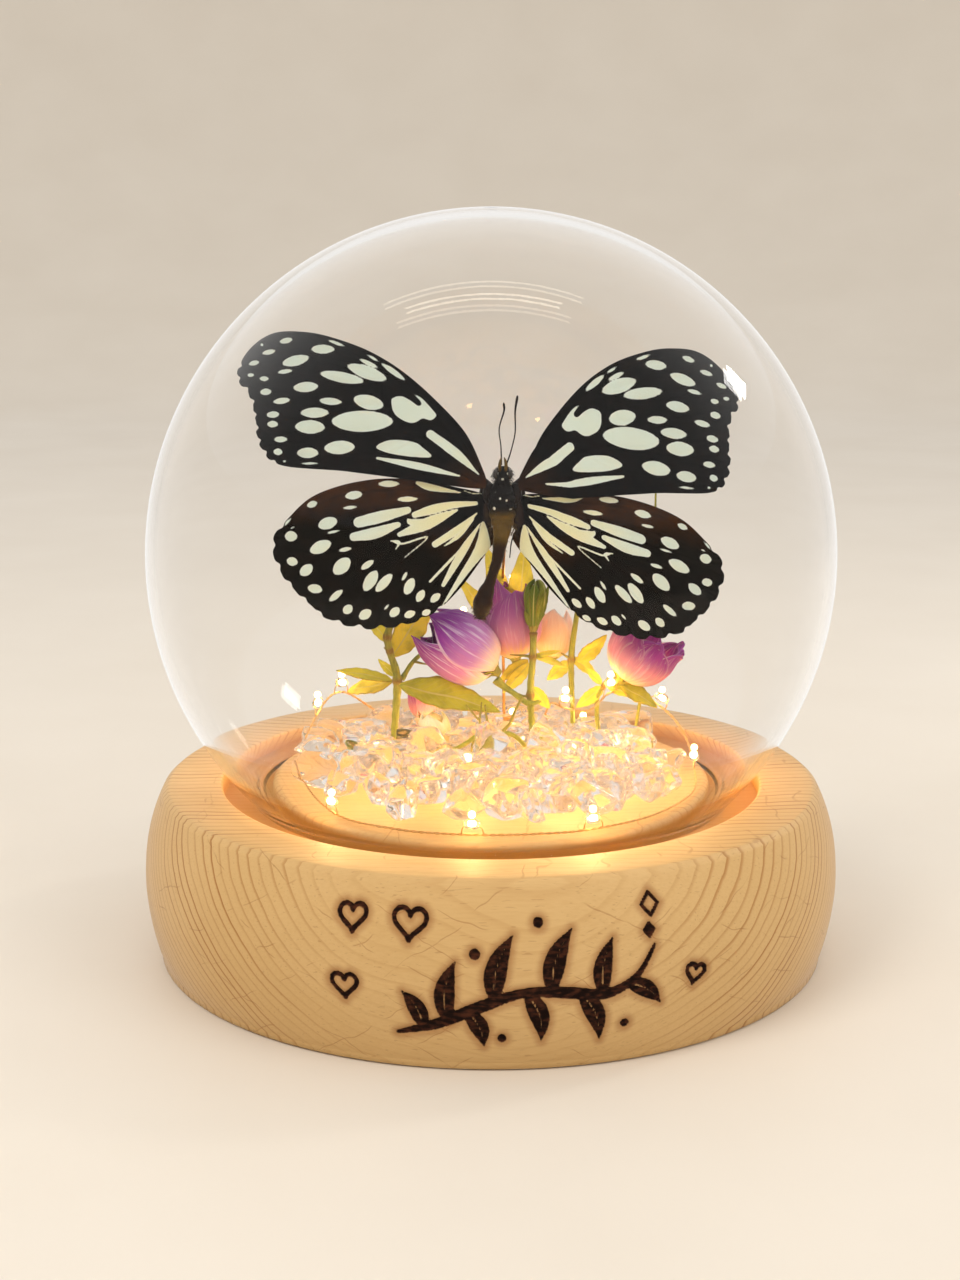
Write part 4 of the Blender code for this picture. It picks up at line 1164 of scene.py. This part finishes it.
def stems(stem, leaf):
    """Every stem, thicker at its joints, with its twigs and the small leaves of its whorls."""
    for name, (radius, knots) in STEMS.items():
        knots = [(*k[:3], k[3] if len(k) > 3 else 1) for k in knots]
        line = even(smooth(knots, 10), 0.45)
        swell = np.zeros(len(line))
        for height in JOINTS.get(name, ()):
            swell += np.exp(-((line[:, 2] - height) / 0.55) ** 2)
        wave = 0.05 * np.sin(np.arange(len(line)) * 1.3) + 0.04 * np.sin(line[:, 2] * 2.7)
        line[:, 3] = radius * line[:, 3] * (1 + 0.28 * swell + wave)
        line[-1, 3] *= 0.5
        shape = Shape("joint", "along", "across", "tone")
        shape.tube(line, 12, 0, joint=np.minimum(swell, 1))
        for twig in TWIGS.get(name, ()):
            shape.tube(smooth(twig, 6), 8, 0, joint=0.35)
        for foot, tip, width, facing, tone in WHORLS.get(name, ()):
            blade(shape, foot, tip, width, facing, tone, 1)
        piece(f"stalk_{name}", shape, [stem, leaf], [f"stem_{name}"])


# Each large leaf: foot, tip, width, facing, tone
LEAVES = {
    "broad": ((-16.4, 3.8, 46.0), (1.6, -3.4, 43.6), 6.4, (0.0, -0.75, 1), 0.35),
    "left": ((-17.9, 4.6, 46.6), (-27.6, 3.0, 49.2), 2.6, (0.2, -0.7, 1), 0.5),
    "left_low": ((-17.8, 6.2, 46.0), (-26.6, 9.4, 43.6), 4.4, (0, -0.8, 1), 1.0),
    "left_back": ((-17.9, 6.6, 50.6), (-10.6, 12.4, 60.6), 5.4, (0.3, -1, 0.2), 0.9),
    "right": ((23.4, 1.8, 46.4), (29.8, -0.6, 43.2), 3.4, (0.1, -0.8, 1), 0.4),
    "middle": ((15.9, 8.4, 49.2), (21.0, 6.6, 54.4), 3.0, (0.6, -1, 0.3), 0.9),
    "main": ((6.7, 3.0, 50.8), (1.6, 4.4, 46.6), 2.6, (0.4, -1, 0.4), 1.0),
}


def leaves(paint):
    """The large leaves, each a node of its own."""
    for name, (start, end, width, normal, tone) in LEAVES.items():
        shape = Shape("along", "across", "tone")
        blade(shape, start, end, width, normal, tone, droop=0.06, rows=40)
        thicken(piece(f"veined_leaf_{name}", shape, [paint], [f"leaf_{name}"]), 0.2)


# How a bud or flower swells: (share of its radius, share of its length)
CLOSED = [(0.22, 0.0), (0.62, 0.07), (0.90, 0.22), (1.0, 0.42), (0.98, 0.60), (0.86, 0.78),
          (0.66, 0.92), (0.52, 1.0)]
CUPPED = [(0.12, 0.0), (0.55, 0.08), (0.86, 0.25), (1.0, 0.50), (0.98, 0.72), (0.95, 0.88),
          (1.02, 1.0)]


def petal(shape, start, aimed, radius, form, azimuth, spread_deg, reach, out, tone, point=0.6,
          ruffle=0.0, curl=0.0, ridges=9):
    """One petal on the swelling form: azimuth from the front, reach of the full length."""
    length, ahead, side, facing = aimed
    t = np.linspace(0, 1, 34)[:, None]
    s = np.linspace(-1, 1, 37)[None, :]
    form = smooth(form, 6)
    swell = np.interp(t * reach, form[:, 1], form[:, 0]) * radius
    wide = np.sin(pi * (0.16 + 0.84 * np.clip(t, 0, 0.9995)) ** 1.15) ** point
    # The tip's outline is rounded by drawing the middle further than the edges
    up = t * reach - 0.10 * reach * t ** 4 * s ** 2
    angle = radians(azimuth) + s * wide * radians(spread_deg)
    rim = np.abs(s) ** 6
    folds = 0.045 * radius * np.cos(s * ridges * pi) * (1 - rim) * np.sin(pi * t) ** 0.4
    away = swell + out + 0.35 * folds + 0.02 * radius * rim
    away = away + ruffle * t ** 5 * np.sin(s * 7.5 + tone * 11) + curl * t ** 4
    up = up * length + ruffle * 0.8 * t ** 5 * np.cos(s * 9.0 + tone * 5)
    at = (start + ahead * up[..., None]
          + (side * np.sin(angle)[..., None] + facing * np.cos(angle)[..., None])
          * away[..., None])
    shape.sheet(at, 0, along=t + 0 * s, across=s + 0 * t, tone=tone)


# Each flower: its foot, tip and radius, its form, its paint, and a row for each petal: azimuth
# from the front, how far it spreads, both in degrees, its reach, how far out it sits, its
# tone, and where they aren't usual, how blunt, ruffled and curled its tip is
FLOWERS = {
    "front": ((0.4, 1.5, 49.4), (-12.4, 1.5, 58.0), 5.9, CLOSED, "violet", [
        (180, 62, 0.9, -0.5, 0.1), (-110, 66, 0.94, -0.25, 0.3), (58, 66, 1.02, 0.05, 0.5, 0.62),
        (132, 58, 0.9, -0.35, 0.7), (-46, 64, 1.0, 0.2, 0.9, 0.5)]),
    "back": ((4.4, 7.2, 50.6), (2.3, 7.2, 65.6), 5.4, CLOSED, "mauve", [
        (180, 64, 0.88, -0.5, 0.2), (112, 62, 0.92, -0.3, 0.35), (-112, 62, 0.84, -0.3, 0.5),
        (30, 66, 1.0, -0.15, 0.6, 0.45), (-24, 74, 0.84, 0.15, 0.8, 0.3)]),
    "cup": ((23.6, 3.4, 47.4), (30.6, 3.4, 56.6), 6.2, CUPPED, "rose", [
        (180, 50, 0.96, -0.4, 0.15, 0.6, 0.4), (118, 48, 0.92, -0.2, 0.3, 0.6, 0.5),
        (-118, 48, 0.98, -0.25, 0.45, 0.6, 0.5), (52, 50, 0.9, 0.0, 0.6, 0.6, 0.45, 0.7),
        (-60, 48, 0.94, -0.05, 0.75, 0.6, 0.45), (-4, 46, 0.86, 0.15, 0.9, 0.45, 0.35)]),
    "peach": ((11.4, 12.0, 49.4), (11.8, 12.0, 58.6), 3.4, CLOSED, "peach", [
        (180, 70, 0.92, -0.3, 0.2), (90, 66, 0.98, 0.0, 0.4, 0.3), (-90, 66, 0.96, 0.0, 0.6, 0.3),
        (14, 66, 1.0, 0.1, 0.8, 0.25)]),
    "cream": ((-9.6, 0.8, 35.6), (-10.6, 0.8, 42.0), 2.9, CLOSED, "cream", [
        (180, 70, 0.92, -0.3, 0.2), (100, 66, 1.0, -0.1, 0.4), (-90, 66, 0.94, -0.1, 0.6),
        (20, 66, 0.97, 0.1, 0.8, 0.5)]),
    "pink": ((-12.2, 9.0, 38.6), (-13.2, 9.0, 45.2), 2.4, CLOSED, "rose", [
        (180, 72, 0.95, -0.2, 0.2), (80, 66, 0.97, 0.0, 0.5), (-50, 70, 1.0, 0.12, 0.8)])}


# Each petal paint: its colours at the tip, the middle, the root and the edges, and the share
# of light that it lets through
PETALS = {
    "violet": ((146, 44, 158), (210, 138, 206), (252, 228, 208), (252, 238, 252), 0.35),
    "mauve": ((198, 112, 190), (230, 164, 200), (252, 222, 160), (246, 206, 226), 0.5),
    "rose": ((188, 72, 176), (236, 166, 190), (254, 230, 190), (252, 220, 226), 0.45),
    "peach": ((252, 226, 212), (253, 234, 208), (252, 228, 168), (255, 246, 232), 0.5),
    "cream": ((248, 240, 214), (246, 230, 176), (230, 200, 110), (255, 252, 240), 0.4)}


def calyx(shape, start, aimed, radius):
    """Five green sepals round the flower's foot, and the knob that they grow from."""
    _, ahead, side, facing = aimed
    for k in range(5):
        a = 2 * pi * k / 5 + 0.4
        away = side * sin(a) + facing * cos(a)
        foot = start + away * radius * 0.1 - ahead * 0.5
        tip = start + away * radius * 0.72 + ahead * radius * 0.42
        blade(shape, foot, tip, radius * 0.3, away + ahead * 0.01, 0.3, 2, droop=-0.12, rows=14)
    knob = [(*(start - ahead * h), r * radius)
            for h, r in ((1.5, 0.10), (0.9, 0.13), (0.3, 0.20), (-0.3, 0.26), (-0.8, 0.12))]
    shape.tube(knob, 12, 1, joint=0.3)


def stamens(shape, start, aimed):
    """Nine threads with knobs at their tips, standing in an open flower."""
    _, ahead, side, facing = aimed
    for k in range(9):
        a = 2 * pi * k / 9
        away = side * sin(a) + facing * cos(a)
        foot = start + ahead * 1.5 + away * 0.5
        tip = start + ahead * (6.4 + 0.6 * sin(k * 2.2)) + away * 1.7
        shape.tube([(*foot, 0.12), (*((foot + tip) / 2 + away * 0.2), 0.1), (*tip, 0.1),
                    (*(tip + ahead * 0.5), 0.3), (*(tip + ahead * 1.0), 0.12)], 7, 1, joint=0.6)


def flowers(stem, leaf):
    """Every flower with its petals, a green calyx and, where it is open, its stamens."""
    paints = {name: petal_paint(f"petal_{name}", *(srgb(*c) for c in colours), through)
              for name, (*colours, through) in PETALS.items()}
    for name, (start, end, radius, form, paint, petals) in FLOWERS.items():
        start, aimed = np.array(start), aim(start, end, (0, -1, 0))
        shape = Shape("along", "across", "tone", "joint")
        for each in petals:
            petal(shape, start, aimed, radius, form, *each)
        calyx(shape, start, aimed, radius)
        if name == "cup":
            stamens(shape, start, aimed)
        made = piece(f"petals_{name}", shape, [paints[paint], stem, leaf],
                     [f"flower_{name}"])
        thicken(made, 0.16)


# The green bud: how it swells, and its sepals' feet, tips, widths and tones
BUD_FORM = [(0.30, 0.0), (0.50, 0.14), (0.86, 0.42), (1.0, 0.70), (0.72, 0.90), (0.12, 1.0)]
SEPALS = [((8.4, 1.6, 57.6), (10.2, 1.4, 65.0), 1.3, 0.0),
          ((8.2, 1.0, 57.4), (9.2, 0.2, 63.6), 1.1, 0.1),
          ((7.0, 1.4, 57.2), (5.9, 0.6, 60.4), 0.9, 0.1),
          ((7.4, 2.6, 57.2), (6.2, 3.6, 62.0), 1.0, 0.2)]


def green_bud(stem):
    """A young bud: ribbed, olive, held by long sepals, above a small ring of bracts."""
    start = np.array((7.6, 2.0, 56.8))
    aimed = aim(start, (8.1, 2.0, 65.8), (0, -1, 0))
    shape = Shape("along", "across", "tone", "joint")
    for k in range(6):
        petal(shape, start, aimed, 2.0, BUD_FORM, 60 * k + 10, 44, 0.97 + 0.01 * (k % 3),
              0.05 * (k % 2), 0.05 * k, point=0.45, ridges=3)
    for foot, tip, width, tone in SEPALS:
        blade(shape, foot, tip, width, (0.2, -1, 0), tone, 0, droop=-0.05, rows=20)
    shape.tube([(7.6, 2, 56.2, 0.5), (7.6, 2, 57.0, 0.85), (7.7, 2, 57.8, 0.8),
                (7.8, 2, 58.6, 0.4)], 12, 1, joint=0.4)
    green = leaf_paint("sepal", srgb(112, 134, 44))
    thicken(piece("sepals_green_bud", shape, [green, stem], ["bud_green"]), 0.14)


# ---------------------------------------------------------------- lights and crystals

WIRE_R = 0.25
STRAND_PITCH = 2.6        # the length of one turn of the twisted wires
STRING_STEP = 0.3
LIGHT_R, LIGHT_LENGTH = 0.9, 2.8
LAMP_GLOW = 22.0          # of each lit chip itself
LAMP_WATTS = 0.0044
HEAP_SHARE = 0.85         # of those watts, for each lamp without a drop
LAMP_COLOUR = (1.0, 0.60, 0.22)
# The string's way over the stage and the crystals, up the plants and down again
STRING = [(-14, 17, 36.4), (-20.5, 14.6, 38), (-27.4, 10.5, 43.0), (-31.2, 3, 41), (-33.6, -8, 34),
          (-26.5, -24.6, 31.2), (-15, -33.4, 31.1), (-3.0, -36.2, 31.1), (8, -35.6, 31.1),
          (16.6, -33.0, 31.1), (27, -25.6, 31.1), (35.0, -13.5, 31.2), (36.4, -2, 32.6),
          (35.2, 6, 36.6), (31.4, 8.6, 40.6), (26.0, 7.4, 43.4), (21.4, 0.6, 45.4),
          (17.6, -0.4, 42.4), (13.4, 0.2, 42.6), (11.0, 6.0, 42), (9.8, 13, 37.5),
          (8.2, 18.5, 36.4)]
# Lamps without a drop of their own, deep in the heap and behind the flowers
HEAP_GLOWS = [(-20, -10, 38), (-4, -14, 37), (13, -12, 37), (24, -4, 38), (-10, 4, 40),
              (4, 8, 40), (17, 9, 39), (4, 13, 64), (-5, 12.5, 58)]
# Along a drop and along its chip: where, and how wide
DROP = [(-1, 0.16), (-0.9, 0.5), (-0.6, 0.86), (-0.2, 1.0), (0.2, 1.0), (0.6, 0.86),
        (0.9, 0.5), (1, 0.16)]
CHIP = [(-0.62, 0.12), (-0.5, 0.3), (0, 0.36), (0.5, 0.3), (0.62, 0.12)]


def glow(number, at, watts):
    """A small warm lamp with no body."""
    lamp = bpy.data.lights.new(f"glow_{number:02d}", "POINT")
    lamp.energy = watts
    lamp.color = LAMP_COLOUR
    lamp.shadow_soft_size = 0.6 * MM
    in_scene(lamp.name, lamp).location = Vector(at) * MM


def twisted(line, ahead):
    """Two fine wires twisted round the string's middle line."""
    side = np.cross(ahead, (0, 0, 1))
    side /= norm(side, axis=1)[:, None]
    up = np.cross(side, ahead)
    twist = np.arange(len(line))[:, None] * STRING_STEP * 2 * pi / STRAND_PITCH
    strands = Shape()
    for start in (0, pi):
        around = side * np.cos(twist + start) + up * np.sin(twist + start)
        strand = line + around * WIRE_R * 0.5
        strands.tube(np.hstack([strand, np.full((len(line), 1), WIRE_R * 0.46)]), 7)
    return strands


def lamp_shape(middle, line, ahead):
    """A drop of resin round a chip, with two leads that come out of the string near it."""
    near = int(np.argmin(norm(line - middle, axis=1)))
    run = ahead[near]
    shape = Shape()
    spine = [(*(middle + run * LIGHT_LENGTH / 2 * h), LIGHT_R * r) for h, r in DROP]
    shape.tube(smooth(spine, 3), 16, 0)
    shape.tube(smooth([(*(middle + run * h), r) for h, r in CHIP], 2), 10, 1)
    for end in (-1, 1):
        foot = line[min(max(near + end * 6, 0), len(line) - 1)]
        top = middle + run * end * LIGHT_LENGTH * 0.36
        bend = (foot + top) / 2 + run * end * 0.25
        shape.tube([(*foot, 0.11), (*bend, 0.11), (*top, 0.11)], 6, 2)
    return shape


def light_string():
    """The twisted wire, its nine drops of resin, each over a lit chip, and what they light."""
    line = even(smooth([(*p, 0) for p in STRING], 24), STRING_STEP)[:, :3]
    ahead = np.gradient(line, axis=0)
    ahead /= norm(ahead, axis=1)[:, None]
    paint = wire_paint("copper_wire", srgb(240, 206, 150), srgb(214, 170, 110), 0.3)
    piece("twisted_wire", twisted(line, ahead), [paint], ["light_wire"])
    core, resin = lamp_paint(), resin_paint()
    for number in range(1, 10):
        node = f"light_{number:02d}"
        middle, _ = box_mm(node)
        piece(f"lamp_{number:02d}", lamp_shape(middle, line, ahead), [resin, core, paint],
              [node])
        glow(number, middle + (0, 0, 1.5), LAMP_WATTS)
    for number, at in enumerate(HEAP_GLOWS, 10):
        glow(number, at, LAMP_WATTS * HEAP_SHARE)


def ico(subdivisions):
    """An even ball's points and faces, of radius 1."""
    form = bmesh.new()
    bmesh.ops.create_icosphere(form, subdivisions=subdivisions, radius=1)
    form.verts.index_update()
    points = np.array([v.co for v in form.verts])
    faces = [tuple(v.index for v in f.verts) for f in form.faces]
    form.free()
    return points, faces


def tumbled(ball_points, normals, reaches, sharp):
    """A solid bounded by flat faces, its edges worn round: each direction reaches a soft
    minimum of the distances to the faces."""
    facing = np.maximum(ball_points @ np.asarray(normals).T, 0) / np.asarray(reaches)
    return ball_points / ((facing ** sharp).sum(axis=1) ** (1 / sharp))[:, None]


# Layers of small chips: middle, reach across and back, height over the stage, spacing
CHIP_LAYERS = [((1.5, -2.0), (33.5, 27.0), 2.6, 7.2), ((1.0, -1.5), (27.0, 21.5), 6.0, 7.0)]
UPPER = 3                 # layers higher than this are the upper ones
INSIDE = 0.82             # a share of a large chip's reach
# Free of chips: round the low branch, in the upper layer only, and round each stem
CLEARINGS = [(-5.6, -6.4, 4.2), (5.9, -4.4, 3.6)]
STANDING = [(7.6, 2), (-17.4, 5), (19.9, 3), (15.2, 9), (26.6, 12), (2.5, 14.4)]
STEM_ROOM = 1.9
LARGE = [f"crystal_{number:02d}" for number in range(1, 18)]


def in_large_one(spot, reach):
    """True where a small chip would sit inside one of the large ones."""
    for node in LARGE:
        middle, half = box_mm(node)
        if norm((spot - middle) / (half + reach)) < INSIDE:
            return True
    return False


def small_chips(rng):
    """Where the small chips lie and how long each is, layer by layer."""
    laid = []
    for (mx, my), (rx, ry), height, gap in CHIP_LAYERS:
        for row in range(-6, 7):
            for column in range(-7, 8):
                x = mx + (column + 0.5 * (row % 2)) * gap + rng.uniform(-0.9, 0.9)
                y = my + row * gap * 0.87 + rng.uniform(-0.9, 0.9)
                length = rng.uniform(6.6, 9.2)
                z = LOW + height + rng.uniform(-0.7, 0.7)
                out = hypot((x - mx) / rx, (y - my) / ry)
                spot = np.array((x, y, z - 0.8 * out * (height > UPPER)))
                kept_free = [(*stem, STEM_ROOM) for stem in STANDING]
                kept_free += CLEARINGS if height > UPPER else []
                if out > 1 or in_large_one(spot, length * 0.22):
                    continue
                if all(hypot(x - cx, y - cy) >= r for cx, cy, r in kept_free):
                    laid.append((spot, length))
    return laid


def chip(name, shape, paint, node):
    """A piece of crystal, which throws no shadow, so that the lamps light the stage."""
    piece(name, shape, [paint], [node]).visible_shadow = False


def large_chips(paint):
    """The large chips: their CAD solids with worn edges."""
    points, faces = ico(5)
    for node in LARGE:
        middle, _ = box_mm(node)
        flats = [(np.array(f.normal), np.array(f.center) / MM - middle)
                 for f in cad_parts[node].data.polygons if f.area > 1e-6]
        normals = [n for n, _ in flats]
        reaches = [max(n @ c, 0.5) for n, c in flats]
        shape = Shape()
        shape.add(middle + tumbled(points, normals, reaches, 22), faces)
        chip(node.replace("crystal", "chip"), shape, paint, node)


def heap(paint):
    """The small chips, each cut by 11 flats of its own and six of a box's."""
    points, faces = ico(4)
    rng = random.Random(23)
    small = Shape()
    for spot, length in small_chips(rng):
        normals, reaches = [], []
        for _ in range(11):
            a, h = rng.uniform(0, 2 * pi), rng.uniform(-1, 1)
            ring = sqrt(1 - h * h)
            normals.append((cos(a) * ring, sin(a) * ring, h))
            reaches.append(length / 2 * rng.uniform(0.62, 0.95))
        for axis in np.vstack([np.eye(3), -np.eye(3)]):
            normals.append(tuple(axis))
            reaches.append(length / 2 * (0.72 if abs(axis[2]) else 0.98))
        made = spot + tumbled(points, normals, reaches, 18)
        made[:, 2] += max(0, LOW - made[:, 2].min())
        small.add(made, faces)
    chip("small_chips", small, paint, "crystal_bed")


# ---------------------------------------------------------------- studio

CAMERA_BACK, CAMERA_UP = 346.3, 99.7      # from the middle of the rim
CAMERA_DOWN, CAMERA_LEFT = 0.2135, 0.0055
SENSOR, LENS = 36.0, 56.25
FLOOR_FLAT, FLOOR_BEND = 900, 600

SKY = (1.0, 0.965, 0.92, 1)
SKY_STRENGTH = 0.84
# How bright mirrored things are, from the camera's side, -Y, to the far one
MIRRORED_NEAR, MIRRORED_FAR = (-0.1, 0.04), (0.75, 1.25)
# Softboxes: name, place, size, watts, colour, what they face
SOFTBOXES = [("key", (-420, -420, 620), (360, 360), 2.4, (1, 0.97, 0.93), (0, 0, 60)),
             ("fill", (520, -380, 380), (420, 420), 1.1, (1, 0.96, 0.9), (0, 0, 60)),
             ("spark", (417, 198, 335), (50, 50), 0.35, (1, 0.98, 0.95), (38, -32, 103))]
# Strips above the globe, seen as bands in its top: how far back, how wide, watts
STRIPS = [(10, 420, 0.05), (60, 360, 0.08), (120, 460, 0.06)]


def camera():
    """The photo's camera: in front of the object and a little above it."""
    data = bpy.data.cameras.new("camera")
    data.sensor_width = SENSOR
    data.lens = LENS
    data.clip_start, data.clip_end = 0.01, 20
    made = in_scene("camera", data)
    made.location = (0, -CAMERA_BACK * MM, (BASE_H + CAMERA_UP) * MM)
    made.rotation_euler = (pi / 2 - CAMERA_DOWN, 0, CAMERA_LEFT)
    bpy.context.scene.camera = made


def floor():
    """A pale sweep: flat under the object and curving up far away on every side."""
    paint = Paint("pale_floor", specular_ior_level=0.25)
    cloud = paint.noise(paint.place(), 60, 3)
    paint.shade(roughness=paint.ramp(cloud, 0.1, 0.5),
                base_color=paint.mix(cloud, srgb(230, 222, 210), srgb(222, 213, 200)))
    profile = [(r, 0.0) for r in (1, 120, 400, FLOOR_FLAT)]
    profile += [(FLOOR_FLAT + FLOOR_BEND * sin(a), FLOOR_BEND * (1 - cos(a)))
                for a in np.linspace(0.1, 1.35, 12)]
    shape = Shape()
    shape.sheet(turned(profile, 96), closed=True)
    made = as_mesh("floor", shape, [paint.material])
    made.visible_glossy = False


def panel(name, at, size, watts, colour):
    """A lit rectangle that faces down."""
    data = bpy.data.lights.new(name, "AREA")
    data.shape = "RECTANGLE"
    data.size, data.size_y = (s * MM for s in size)
    data.energy = watts
    data.color = colour
    made = in_scene(name, data)
    made.location = Vector(at) * MM
    return made


def sky():
    """Soft light from all round. In mirror images it is dark on the camera's side, as in a dim
    room with a lit wall behind the object."""
    world = bpy.data.worlds.new("studio")
    bpy.context.scene.world = world
    tree = Nodes(world)
    path = tree.node("ShaderNodeLightPath")
    way = tree.xyz(tree.node("ShaderNodeTexCoord").outputs["Generated"])
    (near, dark), (far, bright) = MIRRORED_NEAR, MIRRORED_FAR
    room = tree.node("ShaderNodeMapRange", {"Value": way["Y"], "From Min": near, "To Min": dark,
                                            "From Max": far, "To Max": bright})
    mirrored = tree.math("SUBTRACT", path.outputs["Is Glossy Ray"],
                         path.outputs["Is Transmission Ray"], clamp=True)
    shown = tree.nodes["Background"].inputs
    tree.put(shown["Color"], tree.mix(mirrored, SKY, room.outputs[0]))
    tree.put(shown["Strength"], SKY_STRENGTH)


def studio():
    """Sky, softboxes and strips, and enough bounces for light to leave the crystals."""
    sky()
    for name, at, size, watts, colour, facing in SOFTBOXES:
        box = panel(name, at, size, watts, colour)
        box.rotation_euler = (Vector(facing) - Vector(at)).to_track_quat("-Z", "Y").to_euler()
        box.visible_glossy = box.visible_transmission = name == "spark"
    for back, wide, watts in STRIPS:
        panel(f"strip_{back}", (-20, back, 640), (wide, 9), watts, (1, 0.93, 0.8))
    scene = bpy.context.scene
    scene.view_settings.view_transform = "Standard"
    scene.cycles.max_bounces = scene.cycles.transmission_bounces = 32
    scene.cycles.glossy_bounces = 16      # fewer turn the crystals' inner reflections dark


def main():
    camera()
    base()
    globe()
    wings()
    body()
    antennae()
    support()
    stem, leaf = stem_paint(), leaf_paint()
    stems(stem, leaf)
    leaves(leaf)
    flowers(stem, leaf)
    green_bud(stem)
    light_string()
    clear = crystal_paint()
    large_chips(clear)
    heap(clear)
    floor()
    studio()


main()
